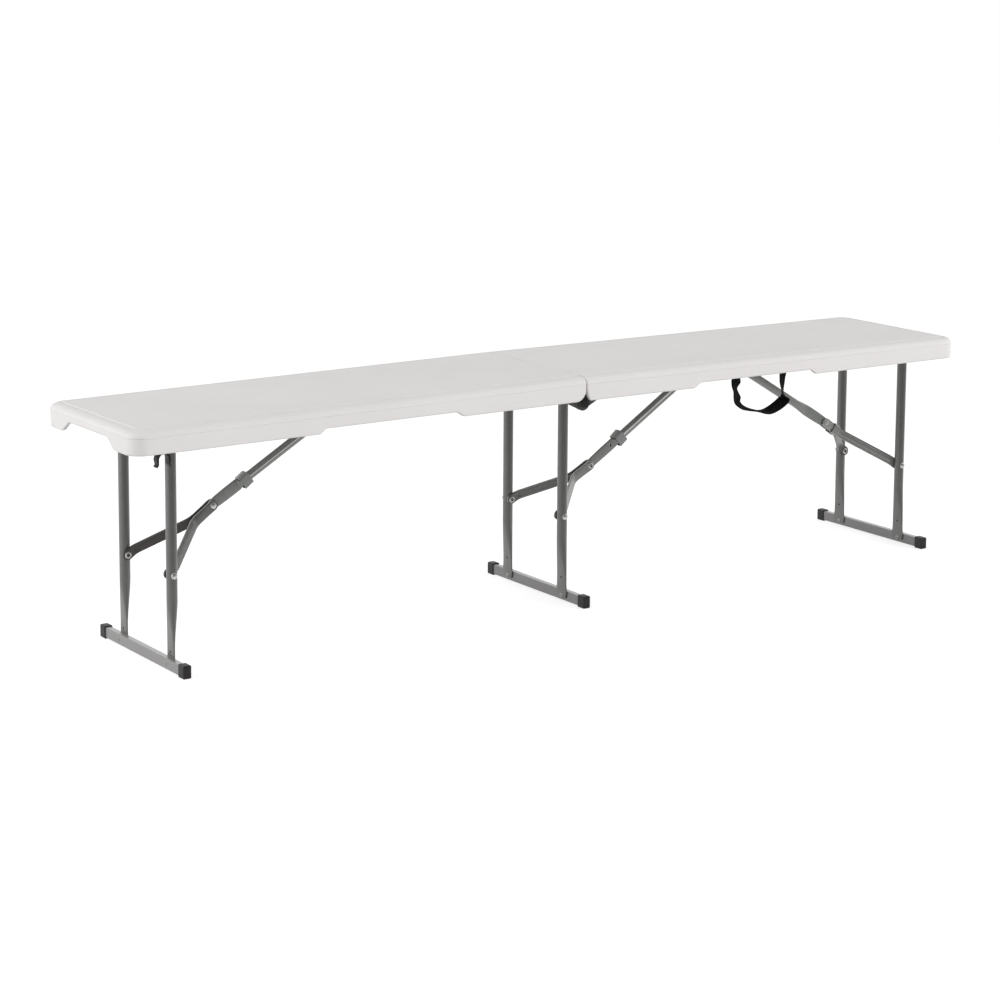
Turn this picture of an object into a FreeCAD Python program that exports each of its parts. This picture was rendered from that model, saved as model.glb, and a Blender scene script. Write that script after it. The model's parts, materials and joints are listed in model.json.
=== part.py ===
import FreeCAD, Part

import math
import os

# A folding bench: two moulded seat halves hinged at the middle, on three folding steel legs.
# Millimetres. X runs along the bench, Z up, and the origin is on the floor under the middle.

LENGTH = 1830.0
WIDTH = 340.0
HEIGHT = 430.0

# Seat halves
PANEL = 18.0
SEAM = 1.5
CORNER = 32.0
SHOULDER = 9.0
BAND = 13.0
BAND_STEP = 1.0
SKIRT = 7.5
END_WALL = 7.25
DEEP = 42.0
SHALLOW = 33.5
ARCH = 23.5
STEP_FROM_FOLD = 258.0
STEP_FROM_END = 355.0
FOLD_RAMP = 20.0
END_RAMP = 16.0
ARCH_HALF = 68.0
ARCH_RAMP = 36.0
FOLD_CORNER = 12.5
SEAM_CHAMFER = 1.2

# Fold of the bench
FOLD_DROP = 45.0
HINGE_TUBE = 19.0
HINGE_EYE = 15.0
HINGE_REACH = 58.0
HINGE_TUBE_CLEAR = 4.5
CHEEK_FROM_TUBE_END = 9.0
CHEEK_APART = 1.5
HINGE_FLANGE = 15.5
HINGE_SCREW_FIRST = 24.0
HINGE_SCREW_PITCH = 24.0
HINGE_SLOPE = 27.0

# Legs
END_TUBE = 16.0
END_TUBE_CLEAR = 11.5
LEG_DROP = 32.0
LEFT_LEG_INSET = 110.0
RIGHT_LEG_INSET = 74.0
LEG_CHEEK_FROM_TUBE_END = 5.5
LEG_EYE_WALL = 4.5
LEG_FLANGE_HALF = 20.0
LEG_SCREW_HALF = 13.0
UPRIGHT = 19.0
UPRIGHT_SPAN = 177.0
UPRIGHT_SHORT = 2.0
TUBE_WALL = 1.5
RIVET_HEIGHT = 162.0
FLAT_TOP = 50.0
TAPER_TOP = 80.0
FLAT_WIDTH = 25.0
FLAT_THICK = 3.0
FLAT_LOW = 3.0
FLAT_ROUND = 4.0
FLAT_HOLE = 4.4
FLAT_HOLE_HEIGHT = 36.0

# Feet
FOOT_LENGTH = 317.0
BAR_HIGH = 19.0
BAR_THICK = 12.0
BAR_OFFSET = 8.5
BAR_ROUND = 1.5
CAP_HIGH = 23.0
CAP_THICK = 15.5
CAP_LONG = 19.0
CAP_END = 2.0
CAP_ROUND = 2.5
PLUG_LONG = 10.0
FOOT_SCREW = 5.0
FOOT_SCREW_HEAD = 9.0
FOOT_SCREW_HEAD_HIGH = 1.8
FOOT_SCREW_NUT = 8.0

# Braces
END_BRACE_REACH = 371.0
END_BRACE_DROP = 17.0
MID_BRACE_REACH = 358.0
MID_BRACE_DROP = 35.0
LEFT_SLACK = 0.4
MID_SLACK = 0.3
RIGHT_SLACK = 0.2
BRACE_WIDTH = 17.0
PLATE_THICK = 5.0
PLATE_LONG = 70.0
PLATE_TAPER = 16.0
BRACE_TUBE = 13.0
BRACE_TUBE_WALL = 1.2
ARM_THICK = 3.8
ARM_PARALLEL = 44.0
ARM_FLAT = 14.0
ARM_GAP = 0.3
KNEE_GAP = 0.3
STOP_HOLE_AT = 66.0
STOP_HOLE = 3.6
BRACKET_HALF = 5.5
BRACKET_GAP = 0.5
BRACKET_FLANGE = 16.5
BRACKET_PIN_HEAD = 10.0

# Lock rings, and where they stand along the brace from the knee
RING_LONG = 20.0
RING_WALL = 1.5
RING_PLAY = 0.25
RING_ROUND = 2.2
LEFT_RING_UP = 75.0
MID_RING_UP = 88.0
RIGHT_RING_DOWN = 31.0

# Sheet metal, rivets and screws
SHEET = 2.5
CHEEK = 3.0
RIVET = 6.0
RIVET_HEAD = 12.0
RIVET_HEAD_HIGH = 2.0
RIVET_BEVEL = 1.2
PLUG_BEVEL = 0.8
RIVET_ROOM = 0.2
RUNNING = 0.05
SCREW = 4.2
SCREW_HOLE = 5.0
SCREW_HEAD = 8.0
SCREW_HEAD_HIGH = 2.4
SCREW_LONG = 12.0

# Clip that holds the right leg's cross tube when the bench is folded
CLIP_FROM_TUBE_END = 20.0
CLIP_DEEP = 12.0
CLIP_WALL = 4.2
CLIP_CLEAR = 0.75
CLIP_NECK = 9.0
CLIP_LIP = 12.2
CLIP_TIP = 13.5
CLIP_STEM = 10.0
CLIP_PAD_HALF = 16.0
CLIP_SCREW_HALF = 11.0

# Carrying strap
STRAP_WIDE = 20.0
STRAP_THICK = 1.6
STRAP_FROM_SKIRT = 12.5
STRAP_FROM_FOLD = 431.0
ANCHOR = 16.0
ANCHOR_IN = 8.0

UNDER = HEIGHT - PANEL
RIM = HEIGHT - DEEP
HINGE_Z = HEIGHT - FOLD_DROP
END_LEG_Z = HEIGHT - LEG_DROP
SKIRT_INSIDE = WIDTH / 2 - BAND_STEP - SKIRT
HINGE_TUBE_HALF = SKIRT_INSIDE - HINGE_TUBE_CLEAR
END_TUBE_HALF = SKIRT_INSIDE - END_TUBE_CLEAR
CLIP_Y = CLIP_FROM_TUBE_END - END_TUBE_HALF
STRAP_Y = STRAP_FROM_SKIRT - SKIRT_INSIDE

# How far a cutter runs past what it cuts
PAST = 1.0
LAP = 0.1

V = FreeCAD.Vector
ORIGIN = V(0, 0, 0)
X = V(1, 0, 0)
Y = V(0, 1, 0)
Z = V(0, 0, 1)


def box(x0, x1, y0, y1, z0, z1):
    return Part.makeBox(x1 - x0, y1 - y0, z1 - z0, V(x0, y0, z0))


def rod_x(y, z, radius, x0, x1):
    return Part.makeCylinder(radius, x1 - x0, V(x0, y, z), X)


def rod_y(x, z, radius, y0, y1):
    return Part.makeCylinder(radius, y1 - y0, V(x, y0, z), Y)


def rod_z(x, y, radius, z0, z1):
    return Part.makeCylinder(radius, z1 - z0, V(x, y, z0), Z)


def flip_x(shape):
    return shape.mirror(ORIGIN, X)


def flip_y(shape):
    return shape.mirror(ORIGIN, Y)


def both_sides(shape):
    """The same piece at the front and the back of the bench."""
    return Part.makeCompound([shape, flip_y(shape)])


def prism(edges, direction):
    return Part.Face(Part.Wire(edges)).extrude(direction)


def polygon_prism(points, direction):
    return Part.Face(Part.makePolygon(points + points[:1])).extrude(direction)


def s_curve(start, end, at):
    """Two equal arcs from start to end, level at both ends. at(u, v) gives the point in space."""
    run = (end[0] - start[0]) / 2
    rise = (end[1] - start[1]) / 2
    radius = (run * run + rise * rise) / (2 * abs(rise))
    sag = math.copysign(radius - math.sqrt(radius * radius - run * run / 4), rise)
    middle = at(start[0] + run, start[1] + rise)
    first = Part.Arc(at(*start), at(start[0] + run / 2, start[1] + sag), middle)
    second = Part.Arc(middle, at(end[0] - run / 2, end[1] - sag), at(*end))
    return [first.toShape(), second.toShape()]


def raised_edge(u, v_low, v_high, at, direction):
    """Cutter that lifts a lower edge between u[1] and u[2], with a ramp on either side."""
    floor = v_low - DEEP
    edges = [Part.makeLine(at(u[0], floor), at(u[0], v_low))]
    edges += s_curve((u[0], v_low), (u[1], v_high), at)
    edges.append(Part.makeLine(at(u[1], v_high), at(u[2], v_high)))
    edges += s_curve((u[2], v_high), (u[3], v_low), at)
    edges.append(Part.makeLine(at(u[3], v_low), at(u[3], floor)))
    edges.append(Part.makeLine(at(u[3], floor), at(u[0], floor)))
    return prism(edges, direction)


def end_slab(inset, z0, z1, corner):
    """A slab as wide as the seat less the inset, with both corners at the bench's end rounded."""
    slab = box(-WIDTH / 4, LENGTH / 2 - inset, inset - WIDTH / 2, WIDTH / 2 - inset, z0, z1)
    end = LENGTH / 2 - inset - LAP
    uprights = [e for e in slab.Edges if e.CenterOfMass.x > end and abs(e.tangentAt(e.FirstParameter).z) > 0.9]
    return slab.makeFillet(corner, uprights)


def seat_half():
    """The right half of the seat: a panel with a skirt all round it."""
    band = end_slab(0, HEIGHT - BAND, HEIGHT, CORNER)
    rim = [e for e in band.Edges if e.CenterOfMass.z > HEIGHT - LAP and e.CenterOfMass.x > LAP - WIDTH / 4]
    band = band.makeFillet(SHOULDER, rim)
    skirt = end_slab(BAND_STEP, RIM, HEIGHT - BAND + PAST, CORNER - BAND_STEP)
    seat = band.fuse(skirt)

    inset = BAND_STEP + SKIRT
    hollow = end_slab(inset, RIM - PAST, UNDER, CORNER - inset)
    inner_end = SEAM / 2 + END_WALL
    hollow = hollow.cut(box(-WIDTH, inner_end, -WIDTH, WIDTH, RIM - DEEP, HEIGHT))
    seat = seat.cut(hollow)
    seat = seat.cut(box(-WIDTH, SEAM / 2, -WIDTH, WIDTH, RIM - PAST, HEIGHT + PAST))

    # The wall beside the fold stops above the hinge tube and its brackets
    tube_room = HINGE_Z + HINGE_EYE + 2 * PAST
    seat = seat.cut(box(0, inner_end, -SKIRT_INSIDE, SKIRT_INSIDE, RIM - PAST, tube_room))

    def along(u, v):
        return V(u, -WIDTH, v)

    far = LENGTH / 2 - STEP_FROM_END
    steps = [STEP_FROM_FOLD, STEP_FROM_FOLD + FOLD_RAMP, far - END_RAMP, far]
    seat = seat.cut(raised_edge(steps, RIM, HEIGHT - SHALLOW, along, Y * 2 * WIDTH))

    def across(u, v):
        return V(LENGTH / 2 - CORNER, u, v)

    outer = ARCH_HALF + ARCH_RAMP
    arch = [-outer, -ARCH_HALF, ARCH_HALF, outer]
    seat = seat.cut(raised_edge(arch, RIM, HEIGHT - ARCH, across, X * 2 * CORNER))

    # Rounded lower corner and bevelled top edge at the fold
    x0 = SEAM / 2
    centre = V(x0 + FOLD_CORNER, -WIDTH, RIM + FOLD_CORNER)
    corner = box(x0 - PAST, x0 + FOLD_CORNER, -WIDTH, WIDTH, RIM - PAST, RIM + FOLD_CORNER)
    seat = seat.cut(corner.cut(Part.makeCylinder(FOLD_CORNER, 2 * WIDTH, centre, Y)))
    wide = SEAM_CHAMFER + PAST
    bevel = [V(x0 - PAST, -WIDTH, HEIGHT + PAST), V(x0 + wide, -WIDTH, HEIGHT + PAST),
             V(x0 - PAST, -WIDTH, HEIGHT - wide)]
    seat = seat.cut(polygon_prism(bevel, Y * 2 * WIDTH))
    return seat.removeSplitter()


def hexagon(radius, high):
    """A six-sided prism that stands on the origin."""
    turns = [math.radians(60 * i) for i in range(6)]
    return polygon_prism([V(radius * math.cos(a), radius * math.sin(a), 0) for a in turns], Z * high)


def screw_up(x, y, under=SHEET):
    """A hexagon-headed screw driven up into the seat, its head under sheets as thick as given."""
    z = UNDER - under
    head = hexagon(SCREW_HEAD / 2, SCREW_HEAD_HIGH).translated(V(x, y, z - SCREW_HEAD_HIGH))
    return head.fuse(rod_z(x, y, SCREW / 2, z - LAP, z + SCREW_LONG))


def screw_holes(sheet, spots):
    for x, y in spots:
        sheet = sheet.cut(rod_z(x, y, SCREW_HOLE / 2, 0, HEIGHT))
    return sheet


def cheek(points, x, z, eye, y):
    """A flat plate hanging from the panel and ending in a round eye, from y outwards."""
    plate = polygon_prism([V(px, y, pz) for px, pz in points], Y * CHEEK)
    return plate.fuse(rod_y(x, z, eye, y, y + CHEEK))


def hinge_spots(y):
    return [(HINGE_SCREW_FIRST, y), (HINGE_SCREW_FIRST + HINGE_SCREW_PITCH, y)]


def hinge_bracket(y_cheek, y_flange, y_screw):
    """One hinge bracket of the right half at the back: a cheek round the hinge tube and a flange."""
    start = SEAM / 2 + END_WALL + PAST
    slope = math.radians(HINGE_SLOPE)
    touch_x = HINGE_EYE * math.sin(slope)
    touch_z = HINGE_Z - HINGE_EYE * math.cos(slope)
    far_z = min(touch_z + (HINGE_REACH - touch_x) * math.tan(slope), UNDER - SHEET)
    points = [(touch_x, touch_z), (HINGE_REACH, far_z), (HINGE_REACH, UNDER), (start, UNDER),
              (start, HINGE_Z + HINGE_EYE * 0.6), (0, HINGE_Z + HINGE_EYE * 0.9)]
    bracket = cheek(points, 0, HINGE_Z, HINGE_EYE, y_cheek)
    flange = box(start, HINGE_REACH, y_flange[0], y_flange[1], UNDER - SHEET, UNDER)
    bracket = bracket.fuse(screw_holes(flange, hinge_spots(y_screw)))
    bracket = bracket.cut(rod_y(0, HINGE_Z, HINGE_TUBE / 2 + 2 * RUNNING, 0, WIDTH))
    return bracket.removeSplitter()


LEG_SCREW_Y = SKIRT_INSIDE - (END_TUBE_CLEAR + LEG_CHEEK_FROM_TUBE_END - CHEEK + 1) / 2


def leg_spots(x):
    return [(x - LEG_SCREW_HALF, LEG_SCREW_Y), (x + LEG_SCREW_HALF, LEG_SCREW_Y)]


def leg_bracket(x):
    """The bracket at the back that carries the cross tube of a leg at x."""
    y0 = END_TUBE_HALF - LEG_CHEEK_FROM_TUBE_END
    eye = END_TUBE / 2 + LEG_EYE_WALL
    wide = LEG_FLANGE_HALF
    points = [(x - eye, END_LEG_Z), (x + eye, END_LEG_Z), (x + wide, UNDER), (x - wide, UNDER)]
    bracket = cheek(points, x, END_LEG_Z, eye, y0)
    flange = box(x - wide, x + wide, y0 + CHEEK - LAP, SKIRT_INSIDE - PAST, UNDER - SHEET, UNDER)
    bracket = bracket.fuse(screw_holes(flange, leg_spots(x)))
    bracket = bracket.cut(rod_y(x, END_LEG_Z, END_TUBE / 2 + 2 * RUNNING, 0, WIDTH))
    return bracket.removeSplitter()


class Leg:
    """A leg and its brace. Local x runs from the leg towards its brace."""

    def __init__(self, name, x, z, side, foot, top, slack, lift, ring):
        self.name = name
        self.x = x
        self.z = z
        self.side = side
        self.foot = foot
        self.top = top
        self.slack = slack
        self.lift = lift
        self.ring = ring
        self.tube = HINGE_TUBE if name == "mid" else END_TUBE
        self.tube_half = HINGE_TUBE_HALF if name == "mid" else END_TUBE_HALF
        self.solve()

    def solve(self):
        """Lengths of fork and link: nearly straight when open, laid on one line when folded."""
        reach = self.z - RIVET_HEIGHT
        tx, tz = self.top
        open_span = math.hypot(tx, tz - RIVET_HEIGHT)
        folded_span = math.hypot(tx - reach, tz - self.z)
        total = open_span + self.slack
        self.fork_long = (total - folded_span) / 2
        self.link_long = (total + folded_span) / 2
        along = (self.fork_long ** 2 - self.link_long ** 2 + open_span ** 2) / (2 * open_span)
        off = self.lift * math.sqrt(self.fork_long ** 2 - along ** 2)
        ux, uz = tx / open_span, (tz - RIVET_HEIGHT) / open_span
        self.knee = (along * ux - off * uz, RIVET_HEIGHT + along * uz + off * ux)
        self.fork_angle = math.degrees(math.atan2(self.knee[1] - RIVET_HEIGHT, self.knee[0]))
        self.link_angle = math.degrees(math.atan2(tz - self.knee[1], tx - self.knee[0]))

    def place(self, shape):
        """From local x to the bench."""
        if self.side < 0:
            shape = flip_x(shape)
        return shape.translated(V(self.x, 0, 0))

    def place_link(self, shape, start, angle):
        """From the brace's own line, which starts at the origin along X, to the bench."""
        shape = shape.rotated(ORIGIN, Y, -angle)
        return self.place(shape.translated(V(start[0], 0, start[1])))

    def on_fork(self, shape):
        return self.place_link(shape, (0, RIVET_HEIGHT), self.fork_angle)

    def on_link(self, shape):
        return self.place_link(shape, self.knee, self.link_angle)


END_TOP = (END_BRACE_REACH, UNDER - END_BRACE_DROP)
MID_TOP = (MID_BRACE_REACH, UNDER - MID_BRACE_DROP)
LEFT_X = LEFT_LEG_INSET - LENGTH / 2
RIGHT_X = LENGTH / 2 - RIGHT_LEG_INSET
LEFT_LEG = Leg("left", LEFT_X, END_LEG_Z, 1, -1, END_TOP, LEFT_SLACK, 1, LEFT_RING_UP)
MID_LEG = Leg("mid", 0, HINGE_Z, 1, 1, MID_TOP, MID_SLACK, -1, MID_RING_UP)
RIGHT_LEG = Leg("right", RIGHT_X, END_LEG_Z, -1, -1, END_TOP, RIGHT_SLACK, 1, -RIGHT_RING_DOWN)


def cross_tube(leg):
    half = leg.tube_half - CAP_END
    tube = rod_y(0, leg.z, leg.tube / 2, -half, half)
    return leg.place(tube.cut(rod_y(0, leg.z, leg.tube / 2 - TUBE_WALL, -half - PAST, half + PAST)))


def tube_plugs(leg):
    half = leg.tube_half
    plug = rod_y(0, leg.z, leg.tube / 2, half - CAP_END, half)
    outer = [e for e in plug.Edges if e.Closed and e.CenterOfMass.y > half - LAP]
    plug = plug.makeChamfer(PLUG_BEVEL, outer)
    stub = rod_y(0, leg.z, leg.tube / 2 - TUBE_WALL - RUNNING, half - PLUG_LONG, half - CAP_END + LAP)
    return leg.place(both_sides(plug.fuse(stub)))


def pressed_taper(long, wide, thin, shift, radius):
    """Where a round tube is pressed flat, along Z: a cone between two planes that close on the plate."""
    cone = Part.makeCone(wide, radius, long)
    profile = [(shift - thin, 0), (shift + thin, 0), (radius + LAP, long), (-radius - LAP, long)]
    return cone.common(polygon_prism([V(x, -2 * wide, z) for x, z in profile], Y * 4 * wide))


def upright(leg):
    """The back upright: a round tube whose lower end is pressed flat to lap on the foot bar."""
    y = UPRIGHT_SPAN / 2
    flat_x = leg.foot * (BAR_OFFSET - BAR_THICK / 2 - FLAT_THICK / 2)
    tube = rod_z(0, y, UPRIGHT / 2, TAPER_TOP, leg.z - UPRIGHT_SHORT)
    half_thick = FLAT_THICK / 2
    taper = pressed_taper(TAPER_TOP - FLAT_TOP, FLAT_WIDTH / 2, half_thick, flat_x, UPRIGHT / 2)
    taper = taper.translated(V(0, y, FLAT_TOP))
    flat = box(flat_x - half_thick, flat_x + half_thick, y - FLAT_WIDTH / 2, y + FLAT_WIDTH / 2, FLAT_LOW, FLAT_TOP)
    lower = [e for e in flat.Edges if e.CenterOfMass.z < FLAT_LOW + LAP and abs(e.tangentAt(e.FirstParameter).x) > 0.9]
    flat = flat.makeFillet(FLAT_ROUND, lower)
    post = tube.fuse(taper).fuse(flat)
    post = post.cut(rod_z(0, y, UPRIGHT / 2 - TUBE_WALL, TAPER_TOP + TUBE_WALL, leg.z))
    post = post.cut(rod_y(0, leg.z, leg.tube / 2 + RUNNING, 0, WIDTH))
    post = post.cut(rod_y(0, RIVET_HEIGHT, RIVET / 2 + RUNNING, 0, WIDTH))
    post = post.cut(rod_x(y, CAP_HIGH / 2, FOOT_SCREW / 2 + RUNNING, -UPRIGHT, UPRIGHT))
    post = post.cut(rod_x(y, FLAT_HOLE_HEIGHT, FLAT_HOLE / 2, -UPRIGHT, UPRIGHT))
    return leg.place(post)


def foot_bar(leg):
    half = FOOT_LENGTH / 2 - CAP_END
    middle = leg.foot * BAR_OFFSET
    height = CAP_HIGH / 2

    def section(inset, reach):
        return box(middle - BAR_THICK / 2 + inset, middle + BAR_THICK / 2 - inset, -reach, reach,
                   height - BAR_HIGH / 2 + inset, height + BAR_HIGH / 2 - inset)

    solid = section(0, half)
    long_edges = [e for e in solid.Edges if abs(e.tangentAt(e.FirstParameter).y) > 0.9]
    bar = solid.makeFillet(BAR_ROUND, long_edges).cut(section(TUBE_WALL, half + PAST))
    for y in (-UPRIGHT_SPAN / 2, UPRIGHT_SPAN / 2):
        bar = bar.cut(rod_x(y, height, FOOT_SCREW / 2 + RUNNING, -2 * BAR_HIGH, 2 * BAR_HIGH))
    return leg.place(bar)


def foot_caps(leg):
    half = FOOT_LENGTH / 2
    middle = leg.foot * BAR_OFFSET
    cap = box(middle - CAP_THICK / 2, middle + CAP_THICK / 2, half - CAP_LONG, half, 0, CAP_HIGH)
    outer = [e for e in cap.Edges if e.CenterOfMass.y > half - CAP_LONG + LAP]
    cap = cap.makeFillet(CAP_ROUND, outer)
    height = CAP_HIGH / 2
    pocket = box(middle - BAR_THICK / 2 - RUNNING, middle + BAR_THICK / 2 + RUNNING, 0, half - CAP_END,
                 height - BAR_HIGH / 2 - RUNNING, height + BAR_HIGH / 2 + RUNNING)
    return leg.place(both_sides(cap.cut(pocket)))


def foot_screws(leg):
    """Bolts that clamp the flattened uprights to the foot bar."""
    y = UPRIGHT_SPAN / 2
    z = CAP_HIGH / 2
    inner = BAR_OFFSET - BAR_THICK / 2 - FLAT_THICK
    outer = BAR_OFFSET + BAR_THICK / 2
    bolt = rod_x(y, z, FOOT_SCREW / 2, inner - LAP, outer + LAP)
    head = rod_x(y, z, FOOT_SCREW_HEAD / 2, outer, outer + FOOT_SCREW_HEAD_HIGH)
    nut = hexagon(FOOT_SCREW_NUT / 2, FOOT_SCREW_HEAD_HIGH).rotated(ORIGIN, Y, 90)
    nut = nut.translated(V(inner - FOOT_SCREW_HEAD_HIGH, y, z))
    bolt = bolt.fuse(head).fuse(nut)
    if leg.foot < 0:
        bolt = flip_x(bolt)
    return leg.place(both_sides(bolt))


def strip(line, thick, wide):
    """A flat strip of even thickness that follows a bent line in XY, as wide as given in Z."""
    points = [V(x, y, -wide / 2) for x, y in line]
    ways = [(b - a).normalize() for a, b in zip(points, points[1:])]
    left, right = [], []
    for i, point in enumerate(points):
        before = ways[max(i - 1, 0)]
        after = ways[min(i, len(ways) - 1)]
        across = V(-before.y - after.y, before.x + after.x, 0).normalize()
        grow = thick / 2 / abs(across.dot(V(-before.y, before.x, 0)))
        left.append(point + across * grow)
        right.append(point - across * grow)
    return polygon_prism(left + right[::-1], Z * wide)


def stadium(x0, x1, radius, y0, y1):
    """A block with round ends about x0 and x1, between y0 and y1."""
    body = box(x0, x1, y0, y1, -radius, radius)
    return body.fuse(rod_y(x0, 0, radius, y0, y1)).fuse(rod_y(x1, 0, radius, y0, y1))


def knee_inside():
    return PLATE_THICK / 2 + KNEE_GAP


def arm_at_leg():
    return UPRIGHT_SPAN / 2 - UPRIGHT / 2 - ARM_GAP - ARM_THICK


def fork_arm(leg):
    """The back arm of the fork, on its own line from the leg's rivet to the knee."""
    radius = BRACE_WIDTH / 2
    near = knee_inside() + ARM_THICK / 2
    far = arm_at_leg() + ARM_THICK / 2
    knee = leg.fork_long
    line = [(-radius - PAST, far), (ARM_FLAT, far), (knee - ARM_PARALLEL, near), (knee + radius + PAST, near)]
    arm = strip(line, ARM_THICK, BRACE_WIDTH)
    arm = arm.common(stadium(0, knee, radius, 0, WIDTH / 2))
    arm = arm.cut(rod_y(0, 0, RIVET / 2 + RUNNING, 0, WIDTH))
    arm = arm.cut(rod_y(knee, 0, RIVET / 2 + RUNNING, 0, WIDTH))
    return arm.removeSplitter()


def rivet_head(x, z, y, way, wide=RIVET_HEAD):
    """A low tapering head that rises from y, outwards for a way of 1 and inwards for -1."""
    radius = wide / 2
    return Part.makeCone(radius, radius - RIVET_BEVEL, RIVET_HEAD_HIGH, V(x, y, z), Y * way)


def arm_rivets(leg):
    """Rivets through the fork arms and the uprights, with a head on either side."""
    inner = arm_at_leg() - RIVET_ROOM
    outer = UPRIGHT_SPAN / 2 + UPRIGHT / 2
    rivet = rod_y(0, RIVET_HEIGHT, RIVET / 2, inner - LAP, outer + LAP)
    rivet = rivet.fuse(rivet_head(0, RIVET_HEIGHT, inner, -1))
    rivet = rivet.fuse(rivet_head(0, RIVET_HEIGHT, outer, 1))
    return leg.place(both_sides(rivet))


def knee_rivet(leg):
    """The two ends of the knee rivet, which turn with the fork."""
    inner = knee_inside()
    outer = inner + ARM_THICK
    end = rod_y(leg.fork_long, 0, RIVET / 2, inner, outer + LAP)
    end = end.fuse(rivet_head(leg.fork_long, 0, outer, 1))
    return leg.on_fork(both_sides(end))


def knee_pin(leg):
    """The middle of the knee rivet, which turns with the link."""
    return leg.on_link(rod_y(0, 0, RIVET / 2, -PLATE_THICK / 2, PLATE_THICK / 2))


def brace_tube(leg):
    """The upper brace: a round tube, flattened into a plate towards the knee."""
    radius = BRACE_WIDTH / 2
    half = PLATE_THICK / 2
    round_radius = BRACE_TUBE / 2
    start = PLATE_LONG + PLATE_TAPER
    top = leg.link_long
    plate = box(0, PLATE_LONG, -half, half, -radius, radius)
    plate = plate.fuse(rod_y(0, 0, radius, -half, half))
    taper = pressed_taper(PLATE_TAPER, radius, half, 0, round_radius)
    taper = taper.rotated(ORIGIN, V(1, 1, 1), 120).translated(V(PLATE_LONG, 0, 0))
    tube = rod_x(0, 0, round_radius, start, top + BRACKET_HALF)
    link = plate.fuse(taper).fuse(tube)
    bore = rod_x(0, 0, round_radius - BRACE_TUBE_WALL, start + BRACE_TUBE_WALL, top + BRACE_TUBE)
    link = link.cut(bore)
    link = link.cut(rod_y(0, 0, RIVET / 2 + RUNNING, -half - PAST, half + PAST))
    link = link.cut(rod_y(top, 0, RIVET / 2 + RUNNING, -WIDTH, WIDTH))
    link = link.cut(rod_y(STOP_HOLE_AT, 0, STOP_HOLE / 2, -WIDTH, WIDTH))
    return leg.on_link(link)


def ring_sizes():
    inner_y = knee_inside() + ARM_THICK + RING_PLAY
    inner_z = BRACE_WIDTH / 2 + RING_PLAY
    return inner_y, inner_z


def lock_ring(leg):
    """A flat band bent into a rectangular ring round the brace."""
    inner_y, inner_z = ring_sizes()
    outer_y = inner_y + RING_WALL
    outer_z = inner_z + RING_WALL
    x0 = -RING_LONG / 2
    x1 = RING_LONG / 2
    ring = box(x0, x1, -outer_y, outer_y, -outer_z, outer_z)
    corners = [e for e in ring.Edges if abs(e.tangentAt(e.FirstParameter).x) > 0.9]
    ring = ring.makeFillet(RING_ROUND, corners)
    hole = box(x0 - PAST, x1 + PAST, -inner_y, inner_y, -inner_z, inner_z)
    ring = ring.cut(hole)
    if leg.ring > 0:
        return leg.on_link(ring.translated(V(leg.ring, 0, 0)))
    # Lowered on the fork, the ring leaves a slot for the plate that folds in between the arms
    slot = PLATE_THICK / 2 + 2 * KNEE_GAP
    ring = ring.cut(box(x0 - PAST, x1 + PAST, -slot, slot, -outer_z - PAST, outer_z + PAST))
    return leg.on_fork(ring.translated(V(leg.fork_long + leg.ring, 0, 0)))


BRACKET_INSIDE = BRACE_TUBE / 2 + BRACKET_GAP
BRACKET_OUTSIDE = BRACKET_INSIDE + SHEET
BRACKET_SCREW = BRACKET_OUTSIDE + BRACKET_FLANGE / 2


def brace_bracket(leg):
    """A bent channel under the panel, whose cheeks hold the top of the brace."""
    tx, tz = leg.top
    half = BRACKET_HALF
    reach = BRACKET_OUTSIDE + BRACKET_FLANGE
    piece = box(tx - half, tx + half, -reach, reach, UNDER - SHEET, UNDER)
    piece = screw_holes(piece, [(tx, -BRACKET_SCREW), (tx, BRACKET_SCREW)])
    for y in (-BRACKET_OUTSIDE, BRACKET_INSIDE):
        wall = box(tx - half, tx + half, y, y + SHEET, tz, UNDER)
        piece = piece.fuse(wall).fuse(rod_y(tx, tz, half, y, y + SHEET))
    piece = piece.cut(rod_y(tx, tz, RIVET / 2 + RUNNING, -WIDTH, WIDTH))
    return leg.place(piece.removeSplitter())


def brace_pin(leg):
    tx, tz = leg.top
    end = rivet_head(tx, tz, BRACKET_OUTSIDE, 1, BRACKET_PIN_HEAD)
    pin = rod_y(tx, tz, RIVET / 2, -BRACKET_OUTSIDE - LAP, BRACKET_OUTSIDE + LAP)
    return leg.place(pin.fuse(end).fuse(flip_y(end)))


def brace_screws(leg):
    x = leg.x + leg.side * leg.top[0]
    return [screw_up(x, y) for y in (-BRACKET_SCREW, BRACKET_SCREW)]


def pairs_of_screws(spots):
    screws = [screw_up(x, y) for x, y in spots]
    return screws + [flip_y(s) for s in screws]


# Cheeks of the two halves stand side by side on the hinge tube
LEFT_CHEEK = HINGE_TUBE_HALF - CHEEK_FROM_TUBE_END
RIGHT_CHEEK = LEFT_CHEEK - CHEEK - CHEEK_APART
LEFT_FLANGE = (LEFT_CHEEK + CHEEK - LAP, SKIRT_INSIDE - PAST)
RIGHT_FLANGE = (RIGHT_CHEEK - HINGE_FLANGE, RIGHT_CHEEK + LAP)
LEFT_HINGE_SCREW = sum(LEFT_FLANGE) / 2
RIGHT_HINGE_SCREW = sum(RIGHT_FLANGE) / 2


def hinge_brackets_left():
    return both_sides(flip_x(hinge_bracket(LEFT_CHEEK, LEFT_FLANGE, LEFT_HINGE_SCREW)))


def hinge_brackets_right():
    return both_sides(hinge_bracket(RIGHT_CHEEK, RIGHT_FLANGE, RIGHT_HINGE_SCREW))


def clip_centre():
    """Where the right leg's cross tube lies when the bench is folded."""
    return -RIGHT_LEG.x, 2 * HINGE_Z - END_LEG_Z


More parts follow.
